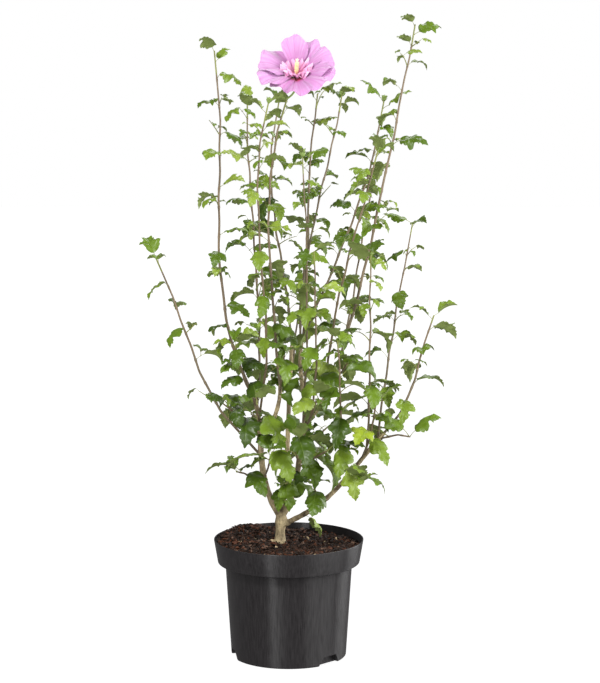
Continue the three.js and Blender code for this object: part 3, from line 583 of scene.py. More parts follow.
# On a row: how far along its bearer a shoot leaves it, and the share of its foot that bears nothing.
STEMS = [dict(zip(SHOOT_KEYS, row)) for row in (
    ("stem_far_left", "bough_left", 0.5, (-0.194, -0.05, 0.609), (-0.018, 0, -0.009), -0.008,
     (0.0027, 0.0012), 0.2, 0.036, (0.054, 0.042), 110, 253),
    ("stem_left_tall", "bough_left", 1, (-0.107, -0.034, 0.906), (-0.023, -0.008, 0.001), -0.011,
     (0.0029, 0.0011), 0.08, 0.036, (0.054, 0.04), -130, 382),
    ("stem_left_back", "bough_left", 0.9, (-0.062, 0.105, 0.834), (0.004, 0.018, 0), 0.004,
     (0.0025, 0.0011), 0.1, 0.036, (0.054, 0.04), 100, 286),
    ("stem_left_front", "bough_left", 0.8, (-0.028, -0.12, 0.833), (-0.003, -0.018, 0.007), 0.01,
     (0.0024, 0.0011), 0.14, 0.038, (0.054, 0.038), 0, 168),
    ("stem_flower", "bough_inner", 1, (-0.002, -0.034, 0.836), (-0.021, -0.006, 0.004), 0.004,
     (0.0026, 0.0013), 0.06, 0.036, (0.054, 0.038), -180, 36),
    ("stem_middle_back", "bough_middle", 1, (-0.014, 0.135, 0.83), (-0.016, 0.008, 0), 0.006,
     (0.0026, 0.0011), 0.06, 0.038, (0.054, 0.04), 140, 133),
    ("stem_middle_short", "bough_middle", 0.8, (0.026, 0.135, 0.6), (0.002, 0.01, 0), 0,
     (0.0021, 0.0011), 0.12, 0.036, (0.054, 0.044), 50, 329),
    ("stem_upright", "bough_upright", 1, (0.043, 0.02, 0.843), (-0.003, -0.002, 0.002), 0.002,
     (0.0026, 0.0011), 0.06, 0.036, (0.054, 0.038), -10, 20),
    ("stem_upright_back", "bough_upright", 0.8, (0.082, 0.155, 0.837), (-0.011, 0.014, 0.001), -0.005,
     (0.0025, 0.0011), 0.1, 0.038, (0.054, 0.04), -50, 359),
    ("stem_bud", "bough_centre", 0.8, (0.02, -0.072, 0.756), (0.007, -0.014, 0.002), 0,
     (0.0022, 0.0009), 0.2, 0.038, (0.054, 0.036), -130, 329),
    ("stem_front", "bough_centre", 0.6, (0.036, -0.118, 0.623), (0.014, -0.016, 0.001), 0.003,
     (0.0022, 0.001), 0.2, 0.036, (0.056, 0.042), -20, 168),
    ("stem_right_tall", "bough_slant", 1, (0.186, 0.02, 0.944), (0.007, 0, 0.001), 0.001,
     (0.003, 0.0011), 0.06, 0.038, (0.054, 0.044), -130, 1382),
    ("stem_right_inner", "bough_slant", 0.85, (0.129, 0.112, 0.709), (0.003, 0.014, -0.002), 0.002,
     (0.0023, 0.001), 0.1, 0.038, (0.054, 0.04), 80, 76),
    ("stem_right_front", "bough_slant", 0.45, (0.127, -0.112, 0.766), (-0.01, -0.016, 0.007), -0.003,
     (0.0024, 0.0011), 0.1, 0.038, (0.054, 0.04), -100, 44),
    ("stem_right_slant", "bough_upright", 0.93, (0.143, 0.07, 0.831), (0.013, 0, -0.004), -0.003,
     (0.0026, 0.0011), 0.08, 0.038, (0.054, 0.042), 175, 145),
    ("stem_low_right_front", "bough_right", 0.82, (0.118, -0.092, 0.614), (0.002, -0.014, 0.005), 0.001,
     (0.0023, 0.001), 0.1, 0.036, (0.054, 0.042), 50, 214),
    ("stem_low_right_back", "bough_right", 0.94, (0.186, 0.05, 0.65), (-0.002, 0.016, 0), 0,
     (0.0024, 0.001), 0.1, 0.036, (0.054, 0.044), 150, 291),
    ("stem_low_right", "bough_right", 1, (0.213, -0.04, 0.521), (0.009, 0, -0.004), 0.004,
     (0.0026, 0.0012), 0.1, 0.03, (0.058, 0.044), 5, 39),
    ("stem_right_short", "bough_right", 0.6, (0.07, -0.105, 0.492), (-0.002, -0.012, 0), -0.001,
     (0.0021, 0.0011), 0.16, 0.032, (0.058, 0.046), -110, 434),
)]


def tuft(name, on, at, tip, bow, turn, seed, **own):
    """A low tuft as the usual one grows, but for what is its own."""
    usual = dict(sway=0, thick=(0.0019, 0.0012), bare=0.3, gap=0.017, leaf=(0.058, 0.05))
    usual.update(own, name=name, on=on, at=at, tip=tip, bow=bow, turn=turn, seed=seed)
    return usual


TUFTS = [
    tuft("tuft_left_low", "bough_left", 0.22, (-0.078, -0.03, 0.286), (-0.004, 0, 0.008), -170, 25,
         leaf=(0.056, 0.048)),
    tuft("tuft_left", "bough_left", 0.66, (-0.098, -0.045, 0.392), (-0.004, 0, 0.006), -105, 352),
    tuft("tuft_front_left", "bough_left", 0.72, (-0.046, -0.088, 0.398), (0, -0.008, 0.004), -60, 369),
    tuft("tuft_front", "bough_inner", 0.8, (-0.006, -0.09, 0.472), (0, -0.008, 0.002), -100, 359, bare=0.34),
    tuft("tuft_front_low", "bough_centre", 0.4, (0.012, -0.088, 0.342), (0, -0.008, 0.002), -70, 214,
         leaf=(0.06, 0.052)),
    tuft("tuft_front_right", "bough_centre", 0.5, (0.058, -0.072, 0.326), (0, -0.008, 0.002), -20, 200,
         bare=0.34, leaf=(0.06, 0.052)),
    tuft("tuft_right_low", "bough_right", 0.46, (0.092, -0.084, 0.286), (0, -0.006, 0.004), -80, 112,
         leaf=(0.06, 0.05)),
    tuft("tuft_right", "bough_right", 0.76, (0.128, -0.07, 0.4), (0.004, -0.004, 0), -20, 232, bare=0.26),
    tuft("tuft_right_tip", "bough_right", 0.95, (0.178, -0.062, 0.344), (0.006, -0.006, 0.006), 5, 420,
         bare=0.24),
    tuft("tuft_foot", "bough_middle", 0.14, (-0.012, -0.032, 0.262), (0, -0.006, 0.002), -95, 214,
         thick=(0.0018, 0.0012), bare=0.4, leaf=(0.054, 0.05)),
    tuft("tuft_left_high", "bough_left", 0.95, (-0.078, -0.055, 0.478), (-0.004, -0.006, 0.002), 170, 230,
         bare=0.32),
    tuft("tuft_centre_low", "bough_left", 0.32, (-0.024, -0.078, 0.322), (0, -0.008, 0.002), -55, 295,
         bare=0.32),
    tuft("tuft_middle", "bough_centre", 0.85, (0.043, -0.088, 0.406), (0, -0.008, 0.002), -110, 246,
         bare=0.32),
    tuft("tuft_right_high", "bough_slant", 0.7, (0.086, -0.07, 0.456), (0.002, -0.008, 0.002), -50, 241,
         bare=0.32),
    tuft("tuft_right_under", "bough_right", 0.68, (0.108, -0.092, 0.28), (0, -0.004, -0.006), -100, 334,
         bare=0.36),
    tuft("tuft_foot_right", "bough_right", 0.3, (0.036, -0.042, 0.268), (0, -0.004, 0.002), -110, 197,
         thick=(0.0018, 0.0012), bare=0.4, leaf=(0.052, 0.048)),
    tuft("tuft_back_left", "bough_middle", 0.4, (-0.058, 0.092, 0.352), (-0.004, 0.006, 0.004), 110, 71,
         gap=0.018),
    tuft("tuft_back", "bough_middle", 0.62, (0.002, 0.128, 0.392), (0, 0.008, 0.004), 75, 467, gap=0.018),
    tuft("tuft_back_right", "bough_middle", 0.3, (0.074, 0.084, 0.344), (0.006, 0.006, 0.004), 10, 138,
         bare=0.34, gap=0.018),
]
STALK_LENGTH = 0.26
STALK_RADIUS = 0.0135
STALK_RISE = (28, 60)
LEAF_LOBE = (0.41, 0.44, 0.135)
LEAF_NOTCH = (0.23, 0.6, 0.1425)
LEAF_MIDDLE = (0.5, 0.15)
LEAF_PITCH = ((-72, -12), (-36, 16))
CROWN_SPAN = (0.250, 0.900)
LEAF_ROLL = 28
LEAF_STRAY = 12
LEAF_VARY = (0.72, 1.15)
SEEDS_PER_STEM = 100
TWIG_SEED = (7, 3)  # what a seed is multiplied by, and what is added
TIP_SEED = (5, 1)
DRAW_FACTOR = 16807
DRAW_SPAN = 2147483647
NODE_TURN = 120
NODE_STRAY = 18
NODE_SPREAD = (0.7, 1.3)
NODE_KINK = 0.0012
LINE_STEPS = 40
SPUR_SHARE = 0.22
SPUR_LENGTH = (0.012, 0.027)
SPUR_LEAF = 0.86
SPUR_SIDE = (0.62, 112)
CREST = ((0.99, 0), (0.965, 160))
CREST_PITCH = ((-10, 25), (8, 42))
FLOWER_STEM = "stem_flower"
SAME_PLACE = 0.00005  # a corner this near to one of the mass's own is that corner
STALK_STEPS = 5
STALK_SIDES = 5
STALK_SWELL = (1.5, 1.05, 0.9, 0.85, 0.85, 0.95, 0.6)
STEM_SIDES = 9
STEM_STEP = 0.004
NODE_LENGTH = 0.0022  # of the swelling at a node
NODE_SWELL = 0.36
BEND_EASE = 0.012  # share of a stem over which a bend is eased
BROWN_TO = 0.3  # share of a stem up to which it is brown
BROWN_VARY = 0.25
GREEN_FROM = 0.93  # share of a stem from which it is still green

# Finer growth: thin twigs, young leaves at bare tips, and leaves that hang from the boughs.
TWIG_SHARE = 0.4
TWIG_STEPS = 6
TWIG_RADII = (0.0009, 0.0005)
TWIG_LEAVES = ((1, 0), (0.62, 115), (0.34, -105))  # place along the twig, turn off its way
TWIG_STRAY = 75
TWIG_RISE = (20, 58)
TWIG_LENGTH = (0.014, 0.034)
TWIG_BOW = 0.2  # of its length
TWIG_LEAF = (0.34, 0.6)
TWIG_SIDES = 5
CROWDED = 0.011
TIP_TRIES = 9
TIP_LEAF = (0.42, 0.8)
TIP_LEAVES = 3
TIP_TURN = 137
TIP_PLACE = 0.985  # share of the stem at which the first try grows
TIP_STEP = 0.004
LEAF_CLEAR = 0.0005
HANGING = [  # folded young leaves that hang from the boughs, over the pot's edge and at the fork
    dict(mass="tuft_foot_right", bough="bough_right", at=0.15, turn=-6, rise=-18, pitch=-60, roll=-40,
         length=0.037, stalk=0.012, tone=4),
    dict(mass="tuft_foot", bough="bough_middle", at=0.125, turn=-102, rise=30, pitch=-64, roll=10,
         length=0.038, stalk=0.022, tone=2)]

LEAF_TONES = {
    "leaf_deep": (51, 72, 9), "leaf_green": (68, 91, 15), "leaf_mid": (85, 109, 23),
    "leaf_soft": (99, 121, 32), "leaf_fresh": (113, 132, 44), "leaf_young": (127, 145, 59)}
UNDER_TONE = (108, 122, 62)
RIB_TONE = (100, 122, 48)
YELLOW_TONE = (128, 146, 30)
YELLOW_PLACE = (0.1051, -0.0864, 0.3476)  # of the one leaf that turns
YELLOW_REACH = 0.006
FRESHNESS = (1.5, 2.5)  # mean place among the greens, low down and high up
FRESHNESS_SPREAD = 1
SMALL_LEAF = 0.034
SMALL_FRESHER = 0.6
UPRIGHT = Vector((0, 0, 1))
STEM_TONES = {
    "stem_brown": (106, 93, 71), "stem_tan": (109, 93, 71), "stem_green": (118, 122, 60)}
BROWN, TAN, GREEN = range(3)  # places among the stem finishes


def draws(seed):
    """The seeded draw: numbers between low and high, the same on every machine."""
    state = seed

    def draw(low, high):
        nonlocal state
        state = (state * DRAW_FACTOR) % DRAW_SPAN
        return low + ((high - low) * state) / DRAW_SPAN
    draw(0, 1)
    draw(0, 1)
    return draw


def heading(turn, rise):
    """The way to a turn round the upright axis and a rise above the level, both in degrees."""
    a = math.radians(turn)
    b = math.radians(rise)
    return Vector((math.cos(a) * math.cos(b), math.sin(a) * math.cos(b), math.sin(b)))


def line_length(line):
    """How long a limb's middle line is."""
    return sum((line((i + 1) / LINE_STEPS) - line(i / LINE_STEPS)).length for i in range(LINE_STEPS))


def crown_height(leaf):
    """How high up the crown a leaf grows, from 0 to 1."""
    return min(1, max(0, (leaf["root"].z - CROWN_SPAN[0]) / (CROWN_SPAN[1] - CROWN_SPAN[0])))


def draw_leaf(draw, root, turn, length, pitch=LEAF_PITCH):
    """A leaf that grows from root, drooping low down in the crown and held up high in it."""
    leaf = {"root": root}
    height = crown_height(leaf)
    leaf["turn"] = turn + draw(-LEAF_STRAY, LEAF_STRAY)
    leaf["rise"] = draw(*STALK_RISE)
    leaf["pitch"] = draw(taper((pitch[0][0], pitch[1][0]), height),
                         taper((pitch[0][1], pitch[1][1]), height))
    leaf["roll"] = draw(-LEAF_ROLL, LEAF_ROLL)
    leaf["length"] = length * draw(*LEAF_VARY)
    leaf["stalk"] = STALK_LENGTH * leaf["length"]
    return leaf


def leaf_frame(leaf):
    """Where a leaf's blade starts, and the ways along it, across it and up from it."""
    base = leaf["root"] + heading(leaf["turn"], leaf["rise"]) * leaf["stalk"]
    along = heading(leaf["turn"], leaf["pitch"])
    across = heading(leaf["turn"] + 90, 0)
    across.rotate(Quaternion(along, math.radians(leaf["roll"])))
    return base, along, across, along.cross(across)


def blade_point(leaf, u, v, w, margin=0):
    """A place on a leaf's blade: across, along and up from it, as parts of its length."""
    base, along, across, up = leaf_frame(leaf)
    return base + (across * u + along * v + up * w) * (leaf["length"] + 2 * margin)


def blade_middle(leaf):
    """The middle of a leaf's blade."""
    return blade_point(leaf, 0, 0.5, 0.1)


def stem_nodes(stem, line):
    """The nodes of a leafy stem from its bare foot to its tip: place, turn and what grows there."""
    draw = draws(stem["seed"])
    step = stem["gap"] / line_length(line)
    nodes = []
    rank = stem["turn"]
    t = stem["bare"]
    while t < 1 - step / 2:
        turn = rank + draw(-NODE_STRAY, NODE_STRAY)
        spur = draw(0, 1) < SPUR_SHARE
        nodes.append(dict(t=t, turn=turn, spur=spur, seed=stem["seed"] * SEEDS_PER_STEM + len(nodes)))
        rank += NODE_TURN if draw(0, 1) < 0.5 else -NODE_TURN
        t += step * draw(*NODE_SPREAD)
    return nodes


def stem_rings(stem, line, nodes):
    """The course of a leafy stem: its foot, a bend halfway from each node to the next, its tip."""
    rings = [(0, line(0))]
    for before, node in zip(nodes, nodes[1:]):
        t = (before["t"] + node["t"]) / 2
        rings.append((t, line(t) + heading(before["turn"], 0) * NODE_KINK))
    rings.append((1, line(1)))
    return rings


def root_at(rings, t):
    """The place on a stem's course at a share of its length."""
    k = next(i for i, ring in enumerate(rings) if ring[0] >= t)
    share = (t - rings[k - 1][0]) / (rings[k][0] - rings[k - 1][0])
    return rings[k - 1][1].lerp(rings[k][1], share)


def node_leaves(stem, node, root):
    """What grows at a node: one leaf, or a spur, whose long stalk carries a second leaf."""
    draw = draws(node["seed"])
    length = taper(stem["leaf"], node["t"])
    if not node["spur"]:
        return [draw_leaf(draw, root, node["turn"], length)]
    end = draw_leaf(draw, root, node["turn"], length * SPUR_LEAF)
    end["stalk"] = draw(*SPUR_LENGTH)
    along, off = SPUR_SIDE
    side_root = root + heading(end["turn"], end["rise"]) * (end["stalk"] * along)
    sign = 1 if draw(0, 1) < 0.5 else -1
    return [end, draw_leaf(draw, side_root, end["turn"] + sign * off, length * SPUR_LEAF)]


def crest_leaves(stem, rings):
    """The leaves at the very tip of a stem."""
    draw = draws((stem["seed"] + 1) * SEEDS_PER_STEM - 1)
    return [draw_leaf(draw, root_at(rings, t), stem["turn"] + turn, stem["leaf"][1], CREST_PITCH)
            for t, turn in CREST]


# A leaf's outline on one side, from its stalk to its tip: across and along, as parts of its
# length. Teeth and hollows take turns; the broadest tooth is the tip of the side lobe.
LEAF_EDGE = [
    (0.03, 0.0), (0.125, 0.009), (0.216, 0.047), (0.27, 0.105), (0.272, 0.16), (0.33, 0.195),
    (0.367, 0.25), (0.356, 0.30), (0.412, 0.34), (0.446, 0.402), (0.436, 0.465), (0.372, 0.506),
    (0.298, 0.522), (0.236, 0.565), (0.268, 0.617), (0.268, 0.672), (0.216, 0.707), (0.228, 0.765),
    (0.2, 0.81), (0.146, 0.827), (0.145, 0.878), (0.11, 0.917), (0.064, 0.935), (0.038, 0.975),
    (0.0, 1.0)]
LEAF_RIB = 0.007  # half width of the middle rib
LEAF_SHEET = 0.012  # thickness of the blade
BLADE_SHARE = (0.95, 0.84)  # of the rule's length, low down and high up in the crown
STALK_SHARE = 0.8  # of the rule's thickness of a stalk
STEM_SHARE = (0.75, 0.96)  # of the solid stem's thickness, at its foot and at its tip


def leaf_shape(rand):
    """A leaf of its own: how deep its lobes are cut, how it folds, bends and waves."""
    return dict(
        cut=rand.uniform(0.6, 1.7), broad=rand.uniform(0.84, 1.06),
        fold=math.radians(rand.uniform(6, 60)), recurve=rand.uniform(1.4, 4.6),
        wave=rand.uniform(0.025, 0.07), phase=rand.uniform(0, 6.28), skew=rand.uniform(-0.09, 0.09),
        arch=rand.uniform(0.5, 1.1), curl=rand.uniform(0, 0.8), lift=rand.uniform(0, 0.15))


def leaf_surface(shape, u, v):
    """Where a place on the flat outline lies once the blade folds, bends back and ripples."""
    side = abs(u)
    fold, recurve = shape["fold"], shape["recurve"]
    across = (math.sin(fold) - math.sin(fold - recurve * side)) / recurve
    up = (math.cos(fold - recurve * side) - math.cos(fold)) / recurve
    up += LEAF_MIDDLE[1] * shape["arch"] * 4 * v * (1 - v)
    up += 0.024 * math.sin(side * 29 - v * 22 + shape["phase"]) * min(1, side * 7)
    up += shape["wave"] * math.sin(v * 14 + shape["phase"] + (2 if u > 0 else 0)) * side * 3
    curl = shape["curl"] * max(0, v - 0.5) ** 2
    up += shape["lift"] * v * v - curl
    return math.copysign(across, u), v - 0.4 * curl, up


def leaf_half(shape, sign):
    """Rows of one half of the blade: rib edge, inner line, outer line, and outline."""
    rows = []
    count = len(LEAF_EDGE)
    for i, (u, v) in enumerate(LEAF_EDGE):
        hollow = u < 0.3 and 0.5 < v < 0.63
        u *= shape["broad"] * (1 - 0.22 * (shape["cut"] - 1) * (3 if hollow else 0))
        u = max(u, 0)
        spine = (i / (count - 1)) ** 1.1
        low = min(v, spine)
        rib = LEAF_RIB * (1 - spine * 0.8)
        row = []
        for share in (0, 0.36, 0.7, 1):
            across = rib + (u - rib) * share if u > rib else u * (0.5 + 0.5 * share)
            place = low + (v - low) * share
            row.append((sign * across + shape["skew"] * math.sin(math.pi * place) * share, place))
        rows.append(row)
    return rows


def leaf_mesh(leaf, shape, tone):
    """A blade as a thin closed sheet: its upper face, its under face and the rim between them."""
    base, along, across, up = leaf_frame(leaf)
    size = leaf["length"] * taper(BLADE_SHARE, crown_height(leaf))
    halves = [leaf_half(shape, sign) for sign in (1, -1)]
    count = len(LEAF_EDGE)
    width = len(halves[0][0])
    corners, faces, tones = [], [], []
    for offset in (LEAF_SHEET / 2, -LEAF_SHEET / 2):
        for half in halves:
            for row in half:
                for k, (u, v) in enumerate(row):
                    x, y, z = leaf_surface(shape, u, v)
                    z += offset * (0.35 if k == width - 1 else 1)
                    corners.append(base + (across * x + along * y + up * z) * size)
    side = count * width
    for layer in (0, 1):
        for half in (0, 1):
            start = layer * 2 * side + half * side
            for i in range(count - 1):
                for k in range(width - 1):
                    a = start + i * width + k
                    for corner in ((a, a + width, a + width + 1), (a, a + width + 1, a + 1)):
                        faces.append(corner if layer != half else corner[::-1])
                        tones.append(UNDER if layer else tone)
        for i in range(count - 1):
            a = layer * 2 * side + i * width
            quad = (a, a + width, a + side + width, a + side)
            faces.append(quad[::-1] if layer else quad)
            tones.append(RIB)
    across_end = [[row * width + k for k in reversed(range(width))]
                  + [side + row * width + k for k in range(width)] for row in (0, count - 1)]
    along_edge = [[half * side + i * width + width - 1 for i in range(count)] for half in (0, 1)]
    for rim, flip in ((along_edge[0], False), (along_edge[1], True),
                      (across_end[0], True), (across_end[1], False)):
        for a, b in zip(rim, rim[1:]):
            quad = (a, b, b + 2 * side, a + 2 * side)
            faces.append(quad[::-1] if flip else quad)
            tones.append(UNDER)
    return corners, faces, tones


def stalk_tube(leaf):
    """A leaf's stalk: it leaves the stem steeply and bends over into the blade."""
    base, along, _, up = leaf_frame(leaf)
    out = heading(leaf["turn"], leaf["rise"])
    points = []
    for t in shares(STALK_STEPS):
        sag = UPRIGHT * (leaf["stalk"] * 0.07 * 4 * t * (1 - t))
        points.append(leaf["root"] + out * (leaf["stalk"] * t) + sag)
    points.append(base + along * (leaf["length"] * 0.05) + up * (leaf["length"] * 0.028))
    radius = STALK_RADIUS * STALK_SHARE * leaf["length"]
    return tube(points, [radius * swell for swell in STALK_SWELL], STALK_SIDES, GREEN)


def stem_tube(stem, rings, nodes):
    """The stem: smooth through its bends, swollen at its nodes, browner at its foot."""
    length = sum((b[1] - a[1]).length for a, b in zip(rings, rings[1:]))
    places = shares(max(12, int(length / STEM_STEP)))
    brown_to = BROWN_TO + BROWN_VARY * math.sin(stem["seed"])
    points, radii, tones = [], [], []
    for t in places:
        near = [root_at(rings, min(1, max(0.0001, t + d))) for d in (-BEND_EASE, 0, BEND_EASE)]
        points.append((near[0] + near[1] * 2 + near[2]) / 4)
        swelling = sum(math.exp(-((t - node["t"]) * length / NODE_LENGTH) ** 2) for node in nodes)
        slim = taper(stem["thick"], t) * taper(STEM_SHARE, t)
        radii.append(slim * (1 + NODE_SWELL * min(1, swelling)))
    for t in places[:-1]:
        tones += [BROWN if t < brown_to else GREEN if t > GREEN_FROM else TAN] * STEM_SIDES
    tones += [tones[0], tones[-1]] * STEM_SIDES
    return tube(points, radii, STEM_SIDES, tones)


def plain_skin(name, tone, gloss, rough, depth, *fineness):
    """A plain coloured skin whose gloss and relief have a fine grain."""
    material, tree, surface = new_finish(name)
    fine = grain(tree, *fineness)
    feed(surface, {
        "Base Color": colour(*tone),
        "Specular IOR Level": gloss,
        "Roughness": between(tree, fine, *rough)})
    relief(surface, fine, depth)
    return material


def shoot_tone(name, tone):
    """Bark of a young shoot: soft, a little glossy, finely ribbed along it."""
    return plain_skin(name, tone, 0.5, (0.45, 0.7), 0.0003, 800, (1, 1, 0.3), 3.0)


def leaf_tone(name, tone, roughness):
    """Leaf skin: one plain green with a faint gloss, puckered between its fine veins."""
    rough = (roughness - 0.07, roughness + 0.1)
    return plain_skin(name, tone, 0.38, rough, 0.00012, 300, (1, 1, 1), 2.0)


def node_corners(name):
    """The corners of a mass in the frame, to be found by place."""
    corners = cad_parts[name].data.vertices
    tree = KDTree(len(corners))
    for i, corner in enumerate(corners):
        tree.insert(corner.co, i)
    tree.balance()
    return tree


def stands(tree, leaf):
    """True for a leaf that the mass holds: its tip and the tips of its lobes are corners of it."""
    u, v, w = LEAF_LOBE
    spots = (blade_point(leaf, 0, 1, 0), blade_point(leaf, u, v, w), blade_point(leaf, -u, v, w))
    return all(tree.find(spot)[2] < SAME_PLACE for spot in spots)


BLADE_FACES = [(0, 1, 6), (1, 2, 6), (2, 3, 6), (3, 4, 6), (4, 5, 6), (5, 0, 6)]


def blade_tree(leaf):
    """The blade as a few flat faces, for telling what it would touch."""
    (u, v, w), (x, y, z) = LEAF_LOBE, LEAF_NOTCH
    corners = [blade_point(leaf, *place, LEAF_CLEAR) for place in (
        (0, 0, 0), (u, v, w), (x, y, z), (0, 1, 0), (-x, y, z), (-u, v, w), (0, *LEAF_MIDDLE))]
    return corners, BVHTree.FromPolygons(corners, BLADE_FACES)


solid_trees = {}
solid_boxes = {}
for name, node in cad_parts.items():
    mesh = node.data
    solid_trees[name] = BVHTree.FromPolygons(
        [corner.co for corner in mesh.vertices], [tuple(face.vertices) for face in mesh.polygons])
    solid_boxes[name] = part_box(name)


def has_room(leaf, owner):
    """True where a small leaf touches no limb and no mass, and keeps to its owner's space if any."""
    corners, tree = blade_tree(leaf)
    if owner:
        low, high = solid_boxes[owner]
        if not all(low[i] <= corner[i] <= high[i] for corner in corners for i in range(3)):
            return False
    least = [min(corner[i] for corner in corners) for i in range(3)]
    most = [max(corner[i] for corner in corners) for i in range(3)]
    for name, (low, high) in solid_boxes.items():
        apart = any(most[i] < low[i] or high[i] < least[i] for i in range(3))
        if not apart and tree.overlap(solid_trees[name]):
            return False
    return True


def let_grow(leaf, owner, leaves, middles):
    """Keeps a small leaf that has room and whose middle is clear of every other's."""
    middle = blade_middle(leaf)
    crowded = any((middle - other).length < CROWDED for other in middles)
    if not crowded and has_room(leaf, owner):
        leaves.append(leaf)
        middles.append(middle)


def fine_twig(stem, node, root, middles):
    """A thin twig on the far side of a node, with one to three small leaves that have room."""
    draw = draws(node["seed"] * TWIG_SEED[0] + TWIG_SEED[1])
    if draw(0, 1) > TWIG_SHARE:
        return [], []
    turn = node["turn"] + 180 + draw(-TWIG_STRAY, TWIG_STRAY)
    rise = draw(*TWIG_RISE)
    reach = draw(*TWIG_LENGTH)
    bend = Vector((0, 0, draw(0, TWIG_BOW) * reach))
    out = heading(turn, rise)

    def place(t):
        return root + out * (reach * t) + bend * (4 * t * (1 - t))
    leaves = []
    length = taper(stem["leaf"], node["t"])
    for t, off in TWIG_LEAVES:
        leaf = draw_leaf(draw, place(t), turn + off, length * draw(*TWIG_LEAF))
        let_grow(leaf, stem["name"], leaves, middles)
    if not leaves:
        return [], []
    steps = shares(TWIG_STEPS)
    radii = [taper(TWIG_RADII, t) for t in steps]
    return leaves, [tube([place(t) for t in steps], radii, TWIG_SIDES, GREEN)]


def tip_leaves(stem, rings, middles):
    """Young leaves at a tip that would else stand bare: the first few tries that have room."""
    draw = draws(stem["seed"] * TIP_SEED[0] + TIP_SEED[1])
    leaves = []
    for k in range(TIP_TRIES):
        leaf = draw_leaf(draw, root_at(rings, TIP_PLACE - TIP_STEP * k), stem["turn"] + TIP_TURN * k,
                         stem["leaf"][1] * draw(*TIP_LEAF), CREST_PITCH)
        let_grow(leaf, None, leaves, middles)
    return leaves[:TIP_LEAVES]


def tone_of(rand, leaf):
    """Which green a leaf takes: fresher towards the crown's top and on small leaves."""
    small = leaf["length"] < SMALL_LEAF
    fresh = taper(FRESHNESS, crown_height(leaf)) + (SMALL_FRESHER if small else 0)
    tone = min(len(LEAF_TONES) - 1, max(0, round(rand.gauss(fresh, FRESHNESS_SPREAD))))
    turning = (blade_middle(leaf) - Vector(YELLOW_PLACE)).length < YELLOW_REACH
    return YELLOW if turning else leaf.get("tone", tone)


leaf_finishes = [leaf_tone(name, tone, 0.39) for name, tone in LEAF_TONES.items()]
leaf_finishes.append(leaf_tone("leaf_underside", UNDER_TONE, 0.7))
leaf_finishes.append(leaf_tone("leaf_rib", RIB_TONE, 0.55))
leaf_finishes.append(leaf_tone("leaf_yellow", YELLOW_TONE, 0.5))
UNDER, RIB, YELLOW = range(len(LEAF_TONES), len(LEAF_TONES) + 3)  # places among the leaf finishes
stem_finishes = [shoot_tone(name, tone) for name, tone in STEM_TONES.items()]


def green_piece(name, mass, parts, finishes, degrees, place=Matrix()):
    """One kind of growth of a mass, joined into a piece that stands for it."""
    piece = mesh_object(name, *gather(parts), finishes)
    piece.matrix_world = place
    soften(piece, degrees)
    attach(piece, "root")
    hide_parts(mass)


for stem in STEMS + TUFTS:
    line = limb_line(lines[stem["on"]](stem["at"]), stem)
    lines[stem["name"]] = line
    nodes = stem_nodes(stem, line)
    rings = stem_rings(stem, line, nodes)
    tree = node_corners(stem["name"])
    grown = []
    for node in nodes:
        grown += [leaf for leaf in node_leaves(stem, node, root_at(rings, node["t"])) if stands(tree, leaf)]
    bare_tip = False
    if stem["name"] != FLOWER_STEM:
        crest = [leaf for leaf in crest_leaves(stem, rings) if stands(tree, leaf)]
        grown += crest
        bare_tip = not crest
    for leaf in HANGING:
        if stem["name"] == leaf["mass"]:
            grown.append(dict(leaf, root=lines[leaf["bough"]](leaf["at"])))
    middles = [blade_middle(leaf) for leaf in grown]
    if bare_tip:
        grown += tip_leaves(stem, rings, middles)
    twigs = [stem_tube(stem, rings, nodes)]
    for node in nodes:
        leaves, twig = fine_twig(stem, node, root_at(rings, node["t"]), middles)
        grown += leaves
        twigs += twig
    twigs += [stalk_tube(leaf) for leaf in grown]
    rand = random.Random(stem["name"])
    blades = [leaf_mesh(leaf, leaf_shape(rand), tone_of(rand, leaf)) for leaf in grown]
    green_piece(stem["name"] + "_twigs", stem["name"], twigs, stem_finishes, 50)
    green_piece(stem["name"] + "_leaves", stem["name"], blades, leaf_finishes, 55)

# ---- flower and buds ----
# One half-double bloom at the tip of a stem: broad lavender petals with ruffled edges round a ruff
# of small curled ones, crimson in the throat, with a cream column of stamens, held in a green
# calyx. Green buds stand at a few other tips.
FLOWER_THROAT = (0.0115, -0.064, 0.874)
FLOWER_FACE = (0.04, -0.67, 0.74)
PETAL_CUP = 0.0095
PETAL_SHEET = 0.0005
PETAL_BASE = 0.0022  # radius at which the petals leave the receptacle
PETALS = [  # turn round the face, length, half angle, opening at the base and at the edge, ruffle
    (52, 0.058, 45, 34, 68, 0.0042), (160, 0.060, 48, 40, 85, 0.0048),
    (95, 0.060, 46, 24, 54, 0.0042), (14, 0.061, 49, 34, 78, 0.0048),
    (196, 0.060, 37, 46, 92, 0.0046), (-30, 0.060, 46, 44, 82, 0.0050),
    (-86, 0.0475, 40, 56, 87, 0.0046), (224, 0.046, 34, 54, 89, 0.0042)]
